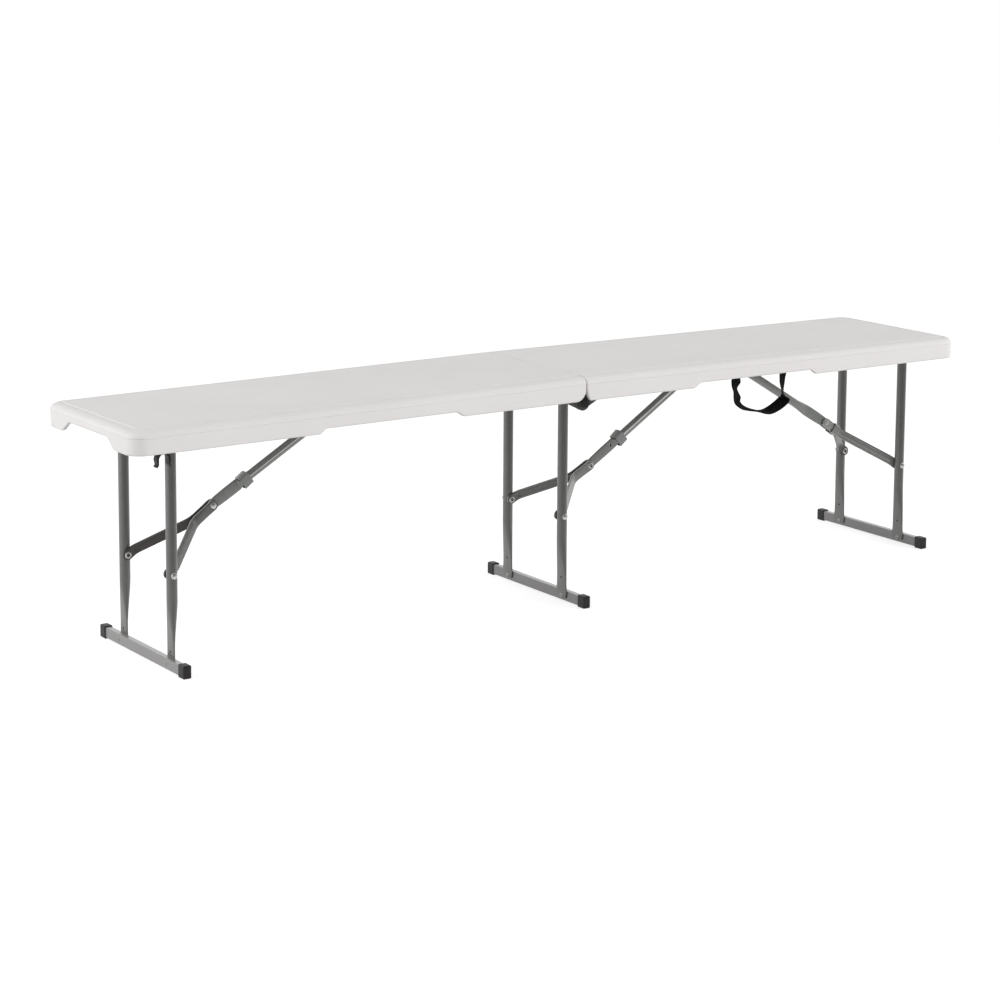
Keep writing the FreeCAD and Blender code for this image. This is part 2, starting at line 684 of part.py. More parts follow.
def snap_clip():
    cx, cz = clip_centre()
    inner = END_TUBE / 2 + CLIP_CLEAR
    outer = inner + CLIP_WALL
    neck = inner + CLIP_WALL * 0.6
    y0 = CLIP_Y - CLIP_DEEP / 2

    def at(x, z):
        return V(cx + x, y0, cz + z)

    slope = math.radians(25)
    shoulder_x = outer * math.cos(slope)
    shoulder_z = -outer * math.sin(slope)
    lip_out = outer + CLIP_CLEAR
    lip_in = outer - CLIP_WALL / 4
    side = [(shoulder_x, shoulder_z), (neck, -CLIP_NECK), (lip_out, -CLIP_LIP), (lip_in, -CLIP_TIP),
            (inner, -CLIP_NECK), (inner, 0)]
    right = [at(x, z) for x, z in side]
    left = [at(-x, z) for x, z in side]
    outline = [Part.Arc(right[0], at(0, outer), left[0]).toShape()]
    outline += [Part.makeLine(a, b) for a, b in zip(left, left[1:])]
    outline.append(Part.Arc(left[-1], at(0, inner), right[-1]).toShape())
    outline += [Part.makeLine(b, a) for a, b in zip(right[-2::-1], right[:0:-1])]
    clip = prism(outline, Y * CLIP_DEEP)
    half = CLIP_STEM / 2
    stem = box(cx - half, cx + half, y0, y0 + CLIP_DEEP, cz + inner + PAST, UNDER - LAP)
    pad = box(cx - CLIP_PAD_HALF, cx + CLIP_PAD_HALF, y0, y0 + CLIP_DEEP, UNDER - SHEET, UNDER)
    return clip.fuse(stem).fuse(screw_holes(pad, clip_spots())).removeSplitter()


def clip_spots():
    x = clip_centre()[0]
    return [(x - CLIP_SCREW_HALF, CLIP_Y), (x + CLIP_SCREW_HALF, CLIP_Y)]


# Carrying strap from one anchor to the other: along the bench from the loop's middle, down from
# the panel, and the turn of the webbing's width away from Y
STRAP_LINE = [
    (-91.0, 0.8, 0.0), (-75.0, 0.8, 0.0), (-65.0, 1.8, 0.0), (-59.0, 6.0, 10.0), (-57.0, 18.0, 60.0),
    (-55.5, 37.0, 25.0), (-53.0, 60.0, 40.0), (-45.0, 71.0, 35.0), (-29.0, 78.0, 10.0),
    (-6.0, 87.0, 5.0), (18.0, 91.5, 15.0), (39.0, 86.0, 30.0), (54.0, 73.0, 40.0), (58.0, 58.0, 25.0),
    (58.0, 34.0, 50.0), (60.0, 6.0, 10.0), (66.0, 1.8, 0.0), (76.0, 0.8, 0.0), (92.0, 0.8, 0.0),
]


def strap_section(centre, way, turn):
    """The four corners of the webbing where it passes a point in a direction."""
    level = V(math.sin(turn), math.cos(turn), 0)
    thick = way.cross(level).normalize()
    wide = thick.cross(way).normalize() * STRAP_WIDE / 2
    thick = thick * STRAP_THICK / 2
    return [centre + wide + thick, centre - wide + thick, centre - wide - thick, centre + wide - thick]


def triangle(a, b, c):
    return Part.Face(Part.makePolygon([a, b, c, a]))


def carry_strap():
    """Webbing that hangs in a loop inside the front skirt of the right half."""
    centres = [V(STRAP_FROM_FOLD + x, STRAP_Y, UNDER - drop) for x, drop, turn in STRAP_LINE]
    last = len(centres) - 1
    sections = []
    for i, centre in enumerate(centres):
        way = (centres[min(i + 1, last)] - centres[max(i - 1, 0)]).normalize()
        sections.append(strap_section(centre, way, math.radians(STRAP_LINE[i][2])))
    faces = []
    for near, far in zip(sections, sections[1:]):
        for i in range(4):
            j = (i + 1) % 4
            faces.append(triangle(near[i], near[j], far[j]))
            faces.append(triangle(near[i], far[j], far[i]))
    for end in (sections[0], sections[-1]):
        faces.append(triangle(end[0], end[1], end[2]))
        faces.append(triangle(end[0], end[2], end[3]))
    shell = Part.makeShell(faces)
    shell.sewShape()
    return screw_holes(Part.makeSolid(Part.Shell(shell.Faces)), anchor_spots())


def anchor_spots():
    first = STRAP_FROM_FOLD + STRAP_LINE[0][0] + ANCHOR_IN
    last = STRAP_FROM_FOLD + STRAP_LINE[-1][0] - ANCHOR_IN
    return [(first, STRAP_Y), (last, STRAP_Y)]


def strap_anchors():
    """Small plates that hold the strap's ends against the panel."""
    half = ANCHOR / 2
    top = UNDER - STRAP_THICK
    plates = []
    for x, y in anchor_spots():
        plate = box(x - half, x + half, y - half, y + half, top - SHEET, top)
        plates.append(screw_holes(plate, [(x, y)]))
    return Part.makeCompound(plates)


def seat_screws_left():
    spots = [(-x, y) for x, y in hinge_spots(LEFT_HINGE_SCREW)] + leg_spots(LEFT_LEG.x)
    screws = pairs_of_screws(spots) + brace_screws(LEFT_LEG)
    return Part.makeCompound(screws + [screw_up(x, y) for x, y in clip_spots()])


def seat_screws_right():
    spots = hinge_spots(RIGHT_HINGE_SCREW) + leg_spots(RIGHT_LEG.x)
    screws = pairs_of_screws(spots) + brace_screws(MID_LEG) + brace_screws(RIGHT_LEG)
    stack = SHEET + STRAP_THICK
    return Part.makeCompound(screws + [screw_up(x, y, stack) for x, y in anchor_spots()])


def leg_nodes(leg):
    back_post = upright(leg)
    arm = leg.on_fork(fork_arm(leg))
    return {
        "cross_tube": cross_tube(leg),
        "tube_plugs": tube_plugs(leg),
        "upright_back": back_post,
        "upright_front": flip_y(back_post),
        "foot_bar": foot_bar(leg),
        "foot_caps": foot_caps(leg),
        "foot_screws": foot_screws(leg),
        "fork_arm_back": arm,
        "fork_arm_front": flip_y(arm),
        "arm_rivets": arm_rivets(leg),
        "knee_rivet": knee_rivet(leg),
        "knee_pin": knee_pin(leg),
        "brace_tube": brace_tube(leg),
        "lock_ring": lock_ring(leg),
        "brace_bracket": brace_bracket(leg),
        "brace_pin": brace_pin(leg),
    }


def main():
    os.makedirs("parts", exist_ok=True)
    right = seat_half()
    nodes = {
        "seat_left": flip_x(right),
        "seat_right": right,
        "hinge_brackets_left": hinge_brackets_left(),
        "hinge_brackets_right": hinge_brackets_right(),
        "leg_brackets_left": both_sides(leg_bracket(LEFT_LEG.x)),
        "leg_brackets_right": both_sides(leg_bracket(RIGHT_LEG.x)),
        "seat_screws_left": seat_screws_left(),
        "seat_screws_right": seat_screws_right(),
        "snap_clip": snap_clip(),
        "carry_strap": carry_strap(),
        "strap_anchors": strap_anchors(),
    }
    for leg in (LEFT_LEG, MID_LEG, RIGHT_LEG):
        for name, shape in leg_nodes(leg).items():
            nodes[f"{name}_{leg.name}"] = shape
    for name, shape in nodes.items():
        shape.exportStep(f"parts/{name}.step")


main()
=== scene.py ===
import json
import math

import bmesh
import bpy
from mathutils import Matrix, Vector


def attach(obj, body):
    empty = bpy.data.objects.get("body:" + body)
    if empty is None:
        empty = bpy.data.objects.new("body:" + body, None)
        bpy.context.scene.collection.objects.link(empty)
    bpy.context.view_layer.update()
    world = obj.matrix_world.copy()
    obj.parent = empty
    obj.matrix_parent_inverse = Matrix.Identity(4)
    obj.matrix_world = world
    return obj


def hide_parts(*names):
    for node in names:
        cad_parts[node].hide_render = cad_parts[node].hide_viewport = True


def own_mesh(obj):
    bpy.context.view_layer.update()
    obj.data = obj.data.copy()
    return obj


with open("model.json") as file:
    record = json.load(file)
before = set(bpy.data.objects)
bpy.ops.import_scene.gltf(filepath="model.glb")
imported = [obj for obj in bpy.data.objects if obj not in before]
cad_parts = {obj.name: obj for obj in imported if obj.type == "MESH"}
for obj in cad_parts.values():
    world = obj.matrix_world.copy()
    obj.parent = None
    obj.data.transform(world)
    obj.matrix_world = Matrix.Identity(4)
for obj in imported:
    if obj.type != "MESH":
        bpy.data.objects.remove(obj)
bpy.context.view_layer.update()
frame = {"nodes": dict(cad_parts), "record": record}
NODES = frame["nodes"]
RECORD = frame["record"]
MM = 0.001


def placed(name, data):
    """A new object in the scene."""
    made = bpy.data.objects.new(name, data)
    bpy.context.scene.collection.objects.link(made)
    return made


# Camera, from the fit to the photograph: angles in degrees, focal length in pixels, place in mm
PHOTO_SIDE = 1000
SENSOR = 36


def make_camera(az, pitch, roll, focal, place, shift):
    a, t, r = (math.radians(v) for v in (az, pitch, roll))
    ahead = Vector((math.sin(a) * math.cos(t), math.cos(a) * math.cos(t), -math.sin(t)))
    right = Vector((math.cos(a), -math.sin(a), 0))
    up = right.cross(ahead)
    right, up = right * math.cos(r) + up * math.sin(r), up * math.cos(r) - right * math.sin(r)
    data = bpy.data.cameras.new("camera")
    data.sensor_width = SENSOR
    data.lens = focal / PHOTO_SIDE * SENSOR
    data.shift_y = shift
    data.clip_end = 100
    data.dof.use_dof = False
    camera = placed("camera", data)
    turn = Matrix((right, up, -ahead)).transposed().to_4x4()
    camera.matrix_world = Matrix.Translation(Vector(place) * MM) @ turn
    bpy.context.scene.camera = camera


make_camera(az=34.3405, pitch=8.4115, roll=0.3670, focal=2614.14,
            place=(-2761.12, -3922.31, 1263.12), shift=-0.200)


# Materials
def node(tree, kind, **values):
    made = tree.nodes.new(kind)
    for key, value in values.items():
        setattr(made, key, value)
    return made


def fill(made, values):
    """Set a node's inputs by their names or numbers."""
    for key, value in values.items():
        made.inputs[key].default_value = value


def noise(tree, scale, detail=3.0):
    place = node(tree, "ShaderNodeNewGeometry")
    made = node(tree, "ShaderNodeTexNoise")
    fill(made, {"Scale": scale, "Detail": detail})
    tree.links.new(place.outputs["Position"], made.inputs["Vector"])
    return made.outputs[0]


def ramp(tree, source, stops):
    made = node(tree, "ShaderNodeValToRGB")
    elements = made.color_ramp.elements
    while len(elements) < len(stops):
        elements.new(0.5)
    for element, (at, colour) in zip(elements, stops):
        element.position = at
        element.color = (*colour, 1)
    tree.links.new(source, made.inputs[0])
    return made.outputs[0]


def spread(tree, source, low, high):
    made = node(tree, "ShaderNodeMapRange")
    fill(made, {"To Min": low, "To Max": high})
    tree.links.new(source, made.inputs["Value"])
    return made.outputs[0]


def bump(tree, shader, source, distance, strength):
    made = node(tree, "ShaderNodeBump")
    fill(made, {"Distance": distance, "Strength": strength})
    tree.links.new(source, made.inputs["Height"])
    before = shader.inputs["Normal"]
    if before.is_linked:
        tree.links.new(before.links[0].from_socket, made.inputs["Normal"])
    tree.links.new(made.outputs[0], before)


FINISH = {}
DARKEST_AT, LIGHTEST_AT = 0.3, 0.75


def surface(name, mottle, dark, light, rough, inputs, bumps, lightest_at=LIGHTEST_AT):
    """A finish with mottled colour, uneven roughness and fine bumps.

    mottle is the scale and detail of the colour's noise. rough is the scale of its own noise with
    the lowest and highest roughness. Each bump is scale, detail, distance in metres and strength.
    """
    material = bpy.data.materials.new(name)
    material.use_nodes = True
    tree = material.node_tree
    shader = tree.nodes["Principled BSDF"]
    colour = ramp(tree, noise(tree, *mottle), [(DARKEST_AT, dark), (lightest_at, light)])
    tree.links.new(colour, shader.inputs["Base Color"])
    if rough:
        scale, low, high = rough
        tree.links.new(spread(tree, noise(tree, scale), low, high), shader.inputs["Roughness"])
    fill(shader, inputs)
    for scale, detail, distance, strength in bumps:
        bump(tree, shader, noise(tree, scale, detail), distance, strength)
    FINISH[name] = material
    return tree, shader


def weave(tree, shader):
    """The webbing's threads along it and its ribs across it."""
    uv = node(tree, "ShaderNodeUVMap", uv_map="weave")
    for direction, scale, high in (("X", 5.5, 0.00035), ("Y", 260.0, 0.00025)):
        wave = node(tree, "ShaderNodeTexWave", bands_direction=direction)
        fill(wave, {"Scale": scale, "Distortion": 0.4})
        tree.links.new(uv.outputs[0], wave.inputs["Vector"])
        bump(tree, shader, wave.outputs[1], high, 0.7)


# Steel in the tones of paint and light that the photograph shows: dark, light and gloss
PAINTS = {
    "frame_steel": ((0.150, 0.156, 0.144), (0.172, 0.178, 0.166), 1.0),
    # Painted shade: the frame's paint made darker for the uprights and the middle back arm
    "post_steel": ((0.074, 0.074, 0.069), (0.088, 0.088, 0.083), 1.0),
    # Painted highlight: a light line along the brace tubes
    "weld_steel": ((0.62, 0.625, 0.61), (0.70, 0.705, 0.69), 1.0),
    # Painted highlight: the frame's paint made lighter for the right knee rivet's head
    "lit_steel": ((0.330, 0.336, 0.325), (0.370, 0.376, 0.365), 1.0),
    # Painted light: the frame's paint made lighter for the right front arm
    "right_arm_steel": ((0.228, 0.233, 0.224), (0.255, 0.260, 0.251), 1.0),
    # Painted shade: the frame's paint made darker for the left front arm
    "arm_steel": ((0.090, 0.094, 0.087), (0.106, 0.110, 0.102), 1.0),
    # Painted shade: the frame's paint made darker, with less gloss, for the left and right back arms
    "inner_steel": ((0.052, 0.047, 0.045), (0.062, 0.056, 0.054), 0.3),
    # Painted shade: the frame's paint made darker for the hinge brackets under the seat
    "bracket_steel": ((0.022, 0.022, 0.021), (0.030, 0.030, 0.029), 1.0),
    "ring_steel": ((0.185, 0.192, 0.186), (0.210, 0.217, 0.211), 1.0),
    # Painted light: the foot bars' paint made lighter for the left bar
    "foot_steel_left": ((0.165, 0.158, 0.157), (0.187, 0.180, 0.179), 1.0),
    "foot_steel": ((0.122, 0.117, 0.117), (0.140, 0.134, 0.134), 1.0),
}
for name, (dark, light, gloss) in PAINTS.items():
    surface(name, (30, 5), dark, light, (120, 0.30, 0.42),
            {"Metallic": 0.2, "Specular IOR Level": 0.8 * gloss, "Coat Weight": 0.5 * gloss,
             "Coat Roughness": 0.22},
            [(1400, 2, 0.00008, 0.5), (260, 2, 0.00012, 0.35)])
surface("seat_plastic", (6, 4), (0.765, 0.745, 0.735), (0.79, 0.772, 0.762), (40, 0.42, 0.56),
        {"Specular IOR Level": 0.16}, [(900, 2, 0.00012, 0.5), (9, 2, 0.0008, 0.35)], lightest_at=0.7)
surface("black_plastic", (60, 4), (0.011, 0.0095, 0.010), (0.019, 0.0165, 0.0175), (200, 0.45, 0.6),
        {"Specular IOR Level": 0.3}, [(1500, 2, 0.0001, 0.6)])
surface("bright_steel", (150, 4), (0.62, 0.62, 0.61), (0.78, 0.78, 0.77), (500, 0.2, 0.34),
        {"Metallic": 1.0}, [(900, 3, 0.00006, 0.5)])
surface("rivet_steel", (220, 4), (0.46, 0.46, 0.45), (0.60, 0.60, 0.59), (600, 0.24, 0.4),
        {"Metallic": 0.9}, [(1200, 3, 0.00006, 0.5)])
# Painted shade for the unlit inside of a ring, a hole or a tubular rivet
surface("shadow_steel", (300, 3), (0.006, 0.006, 0.006), (0.018, 0.017, 0.016), None,
        {"Roughness": 0.85, "Specular IOR Level": 0.15}, [(900, 2, 0.0001, 0.5)])
weave(*surface("webbing", (700, 3), (0.0015, 0.0015, 0.0015), (0.005, 0.0048, 0.005), None,
               {"Roughness": 0.8, "Specular IOR Level": 0.12, "Sheen Weight": 0.03,
                "Sheen Roughness": 0.5}, []))

SLOT_OF = {part["node"]: part["material_slot"] for part in RECORD["subparts"]}
for name, obj in NODES.items():
    obj.data.materials.clear()
    finish = SLOT_OF[name]
    # The left foot bar is lighter, painted light; the others keep the bars' paint
    if name.startswith("foot_bar"):
        finish = "foot_steel_left" if name.endswith("left") else "foot_steel"
    # Painted shade: the hinge brackets darker
    elif "bracket" in name and finish == "frame_steel":
        finish = "bracket_steel"
    obj.data.materials.append(FINISH[finish])


# Pieces built in mesh code, in millimetres
class Shape:
    """Points and faces of a piece. A face may carry the number of a second finish."""

    def __init__(self):
        self.points = []
        self.faces = []
        self.finish = []

    def add(self, points, faces, finish=0):
        start = len(self.points)
        self.points += [tuple(p) for p in points]
        self.faces += [tuple(start + i for i in face) for face in faces]
        self.finish += [finish] * len(faces)

    def loft(self, rings, caps=(True, True), finish=0):
        count = len(rings[0])
        faces = []
        for r in range(len(rings) - 1):
            for i in range(count):
                j = (i + 1) % count
                faces.append((r * count + i, r * count + j, (r + 1) * count + j, (r + 1) * count + i))
        if caps[0]:
            faces.append(tuple(range(count)))
        if caps[1]:
            faces.append(tuple((len(rings) - 1) * count + i for i in range(count)))
        self.add([p for ring in rings for p in ring], faces, finish)

    def lathe(self, profile, place, finish=0, count=28, caps=(True, True)):
        """Turn (radius, height) pairs about a line. place(a, b, h) puts a point across and along it."""
        rings = []
        for radius, high in profile:
            turns = [math.tau * i / count for i in range(count)]
            rings.append([place(radius * math.cos(a), radius * math.sin(a), high) for a in turns])
        self.loft(rings, caps, finish)

    def moved(self, place):
        made = Shape()
        made.points = [tuple(place(*p)) for p in self.points]
        made.faces = list(self.faces)
        made.finish = list(self.finish)
        return made


def mesh_of(name, shape, weld=False):
    """The shape as a mesh in metres, its faces turned outwards."""
    mesh = bpy.data.meshes.new(name)
    mesh.from_pydata([tuple(c * MM for c in p) for p in shape.points], [], shape.faces)
    mesh.polygons.foreach_set("material_index", shape.finish)
    work = bmesh.new()
    work.from_mesh(mesh)
    if weld:
        bmesh.ops.remove_doubles(work, verts=work.verts, dist=1e-6)
    bmesh.ops.recalc_face_normals(work, faces=work.faces)
    work.to_mesh(mesh)
    work.free()
    return mesh


def cut_holes(piece, holes):
    """Drill with closed shapes, and keep the result as the piece's own mesh.

    A hole's inside takes the piece's last finish, the painted shade of shadow_steel.
    """
    cutters = []
    inside = len(piece.data.materials) - 1
    for hole in holes:
        hole.finish = [inside] * len(hole.faces)
        cutter = placed("cutter", mesh_of("cutter", hole))
        drill = piece.modifiers.new("drill", "BOOLEAN")
        drill.operation = "DIFFERENCE"
        drill.solver = "EXACT"
        drill.object = cutter
        cutters.append(cutter)
    graph = bpy.context.evaluated_depsgraph_get()
    made = bpy.data.meshes.new_from_object(piece.evaluated_get(graph))
    piece.modifiers.clear()
    piece.data = made
    for cutter in cutters:
        bpy.data.objects.remove(cutter)


def make_piece(name, shape, body, slot, nodes, finishes=None, sharp=38.0, holes=(), weld=False):
    """A piece of the visual model in place of CAD nodes.

    finishes are names in FINISH, in the order of the shape's finish numbers.
    """
    piece = placed(name, mesh_of(name, shape, weld))
    for finish in finishes or [slot]:
        piece.data.materials.append(FINISH[finish])
    if holes:
        cut_holes(piece, holes)
    mesh = piece.data
    mesh.polygons.foreach_set("use_smooth", [True] * len(mesh.polygons))
    mesh.set_sharp_from_angle(angle=math.radians(sharp))
    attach(piece, body)
    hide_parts(*nodes)
    return piece


def smooth(value):
    value = min(max(value, 0.0), 1.0)
    return value * value * (3 - 2 * value)


# Points round a tube
AROUND = 32


def stadium(thick, wide):
    """A flattened round section with half sizes thick and wide, as (thick, wide) pairs."""
    flat = max(wide - thick, 0.0)
    pairs = []
    for i in range(AROUND):
        a = math.tau * (i + 0.5) / AROUND
        pairs.append((thick * math.cos(a), thick * math.sin(a) + math.copysign(flat, math.sin(a))))
    return pairs


# Sizes of the CAD model that the pieces share
WIDTH, LENGTH, TOP, UNDER, RIM = 340.0, 1830.0, 430.0, 412.0, 388.0
CORNER, SKIRT_IN, BAND_IN = 32.0, 8.5, 1.0
SHALLOW_Z, ARCH_Z = 396.5, 406.5
RIVET_Z, POST_Y, POST_RADIUS = 162.0, 88.5, 9.5


class Leg:
    """A leg's places, with local x from the leg towards its brace.

    x and z are the cross tube's axis, side the brace's way along the bench, foot the local side
    of the foot bar, top the brace's upper pin. slack and lift say by how much and to which side
    the open knee leaves the straight line.
    """

    def __init__(self, name, x, z, side, foot, top, slack, lift):
        self.name, self.x, self.z, self.side, self.foot = name, x, z, side, foot
        reach = z - RIVET_Z
        tx, tz = top
        open_span = math.hypot(tx, tz - RIVET_Z)
        folded = math.hypot(tx - reach, tz - z)
        total = open_span + slack
        self.fork_long = (total - folded) / 2
        self.link_long = (total + folded) / 2
        along = (self.fork_long ** 2 - self.link_long ** 2 + open_span ** 2) / (2 * open_span)
        off = lift * math.sqrt(self.fork_long ** 2 - along ** 2)
        ux, uz = tx / open_span, (tz - RIVET_Z) / open_span
        self.knee = (along * ux - off * uz, RIVET_Z + along * uz + off * ux)
        self.fork_angle = math.atan2(self.knee[1] - RIVET_Z, self.knee[0])
        self.link_angle = math.atan2(tz - self.knee[1], tx - self.knee[0])

    def place(self, x, y, z):
        return (self.x + self.side * x, y, z)

    def on_line(self, start, angle):
        c, s = math.cos(angle), math.sin(angle)

        def put(u, y, v):
            return self.place(start[0] + u * c - v * s, y, start[1] + u * s + v * c)

        return put

    def fork(self):
        return self.on_line((0.0, RIVET_Z), self.fork_angle)

    def link(self):
        return self.on_line(self.knee, self.link_angle)


LEGS = (
    Leg("left", -805.0, 398.0, 1, -1, (371.0, 395.0), 0.4, 1),
    Leg("mid", 0.0, 385.0, 1, 1, (358.0, 377.0), 0.3, -1),
    Leg("right", 841.0, 398.0, -1, -1, (371.0, 395.0), 0.2, 1),
)


# Seat halves
STEP_UP, STEP_DOWN = 20.0, 16.0
ARCH_HALF, ARCH_STEP = 68.0, 36.0
CROWN, CROWN_BELOW = 6.0, 0.4
# The rim as (inwards, up from the top): flat, bead and crease
BEAD = ((30.5, 0.0), (27.6, 0.0), (26.2, 0.1), (25.0, 0.45), (23.9, 0.6), (22.8, 0.3), (21.8, -0.7),
        (20.8, -1.3), (19.8, -1.35), (18.2, -1.05), (16.4, -1.0))
# Its rolled shoulder's size and drop, and the small step under it as (inwards, up from the floor)
SHOULDER_DEEP, SHOULDER_HIGH, SHOULDER_DROP = 16.4, 11.5, 1.0
BAND_STEP = ((0.0, 417.3), (0.2, 416.9), (1.0, 416.5), (1.35, 416.1), (1.35, 415.7), (BAND_IN, 415.2))
LIP = 2.9


def side_bottom(x, start, radius, steps):
    """Height of the long sides' lower edge: deep beside the fold and the end, shallower between."""
    corner = start + radius
    if x < corner:
        return RIM + radius - math.sqrt(max(radius ** 2 - (corner - x) ** 2, 0.0))
    up = smooth((x - steps[0]) / STEP_UP) * (1 - smooth((x - steps[1]) / STEP_DOWN))
    return RIM + (SHALLOW_Z - RIM) * up


def end_bottom(y):
    return RIM + (ARCH_Z - RIM) * (1 - smooth((abs(y) - ARCH_HALF) / ARCH_STEP))


def spaced(start, end, step):
    count = max(int(abs(end - start) / step), 1)
    return [start + (end - start) * i / count for i in range(count)]


def seat_stations(start, radius, steps):
    """Places round the seat from the fold's front corner to its back one: x, y, inward way, height.
    They are close together where the lower edge bends."""
    near = [start + d for d in (0, 0.15, 0.4, 0.8, 1.3, 2, 3, 4.5, 6.5, 9, 12, 15, 18, 20)]
    first, second = steps
    xs = near + spaced(30, first - 6, 23) + spaced(first - 6, first + 28, 1.8)
    xs += spaced(first + 28, second - 5, 25) + spaced(second - 5, second + 23, 1.8)
    xs += spaced(second + 23, LENGTH / 2 - CORNER, 24)
    front = [(x, -WIDTH / 2, 0.0, 1.0, side_bottom(x, start, radius, steps)) for x in xs]
    cx, cy = LENGTH / 2 - CORNER, WIDTH / 2 - CORNER
    turns = [math.radians(-90 + 90 * i / 14) for i in range(14)]
    ways = [(math.cos(a), math.sin(a)) for a in turns]
    bend = [(cx + CORNER * c, -cy + CORNER * s, -c, -s, RIM) for c, s in ways]
    ys = spaced(-cy, -110, 9) + spaced(-110, -62, 3) + spaced(-62, 0, 10)
    end = [(LENGTH / 2, y, -1.0, 0.0, end_bottom(y)) for y in ys]
    half = front + bend + end
    middle = [(LENGTH / 2, 0.0, -1.0, 0.0, end_bottom(0.0))]
    back = [(x, -y, nx, -ny, z) for x, y, nx, ny, z in reversed(half)]
    return half + middle + back


def rim_profile(low):
    """Section of the rim as (inwards, up): top, bead, crease, rolled shoulder, step, skirt and lip."""
    pairs = [(inward, TOP + up) for inward, up in BEAD]
    for i in range(1, 11):
        a = math.radians(9 * i)
        up = TOP - SHOULDER_DROP - SHOULDER_HIGH + SHOULDER_HIGH * math.cos(a)
        pairs.append((SHOULDER_DEEP * (1 - math.sin(a)), up))
    pairs += [*BAND_STEP, (BAND_IN, low + 7)]
    for i in range(6):
        a = math.radians(18 * i)
        pairs.append((BAND_IN + LIP * (1 - math.cos(a)), low + LIP * (1 - math.sin(a))))
    for i in range(6):
        a = math.radians(18 * i)
        pairs.append((SKIRT_IN - LIP * (1 - math.sin(a)), low + LIP * (1 - math.cos(a))))
    pairs.append((SKIRT_IN, UNDER))
    return pairs


def crown(x, z):
    """The seat stands a little higher at the fold than at its ends, its top more than its lower edge."""
    share = CROWN_BELOW + (1 - CROWN_BELOW) * min(max((z - RIM) / (TOP - RIM), 0.0), 1.0)
    return CROWN * share * (1 - max(x, 0.0) / (LENGTH / 2))


def seat_half(start, radius, slant, steps):
    """A half from its edge at the fold.

    start is that edge's x, radius its round corner with the sides' lower edge, slant how far its
    lower part leans back, and steps the x of the skirt's two steps.
    """
    stations = seat_stations(start, radius, steps)
    shape = Shape()
    points = []
    edge_round, edge_share, top_round = 3.2, 0.55, 1.4
    lean_long, lean_top, lean_high = 18.0, 420.0, 26.0
    bead_in, shoulder_foot, inner_count = 27, 417.5, 8
    for x, y, nx, ny, low in stations:
        gap = x - start
        shrink = edge_round - math.sqrt(max(edge_round ** 2 - max(edge_round - gap, 0.0) ** 2, 0.0))
        drop = top_round - math.sqrt(max(top_round ** 2 - max(top_round - gap, 0.0) ** 2, 0.0))
        profile = rim_profile(low)
        for k, (inward, up) in enumerate(profile):
            outer = k < len(profile) - inner_count
            inward += shrink * edge_share if outer and inward < bead_in else 0.0
            up -= drop if up > shoulder_foot else 0.0
            lean = slant * (1 - smooth(gap / lean_long)) * min(max((lean_top - up) / lean_high, 0.0), 1.0)
            up += crown(x, up) if k < len(profile) - 1 else 0.0
            points.append((x + lean + nx * inward, y + ny * inward, up))
    wide = len(rim_profile(RIM))
    count = len(stations)
    faces = []
    for s in range(count - 1):
        for k in range(wide - 1):
            faces.append((s * wide + k, s * wide + k + 1, (s + 1) * wide + k + 1, (s + 1) * wide + k))
    strips = 6
    for s in range(strips):
        far = count - 1 - s
        faces.append((s * wide, (s + 1) * wide, (far - 1) * wide, far * wide))
    faces.append(tuple(s * wide for s in range(strips, count - strips)))
    faces.append(tuple(s * wide + wide - 1 for s in range(count)))
    last = (count - 1) * wide
    faces.append(tuple(range(wide)) + tuple(last + k for k in range(wide - 1, -1, -1)))
    shape.add(points, faces)
    # The wall across the half at the fold
    y1 = WIDTH / 2 - SKIRT_IN + 0.2
    ring = [(0, -1), (1, -1), (1, 1), (0, 1)]
    wall = []
    for x0, x1, z in ((0.9, 2.5, 402.0), (0.4, 3.0, 402.6), (0.4, 3.0, 412.1)):
        wall.append([(start + (x1 if a else x0), b * y1, z) for a, b in ring])
    shape.loft(wall)
    return shape


def mirror_x(x, y, z):
    return (-x, y, z)


right_seat = seat_half(-5.2, 10.0, 4.5, (243.0, 528.0))
left_seat = seat_half(6.6, 19.0, 0.0, (268.0, 547.0))
make_piece("right_seat_panel", right_seat, "right_half", "seat_plastic", ["seat_right"], sharp=32)
make_piece("left_seat_panel", left_seat.moved(mirror_x), "left_half", "seat_plastic", ["seat_left"], sharp=32)


# Uprights: round tubes whose lower end is pressed flat. Each flat's half width, distance from the
# tube's middle, height above the floor, bulge above the foot bar, and height of its small hole
FLATS = {
    "left": (12.4, 2.7, 3.0, 0.0, 30.0),
    "mid": (14.0, 1.0, 7.5, 2.4, 46.0),
    "right": (14.0, 1.0, 7.5, 2.4, 46.0),
}
FLAT_THICK, PRESS_TOP, PRESS_LONG, END_ROUND = 1.5, 118.0, 76.0, 4.0
BULGE_Z, BULGE_TOP, BULGE_FADE = 21.0, 40.0, 4.5
SMALL_HOLE = 1.9


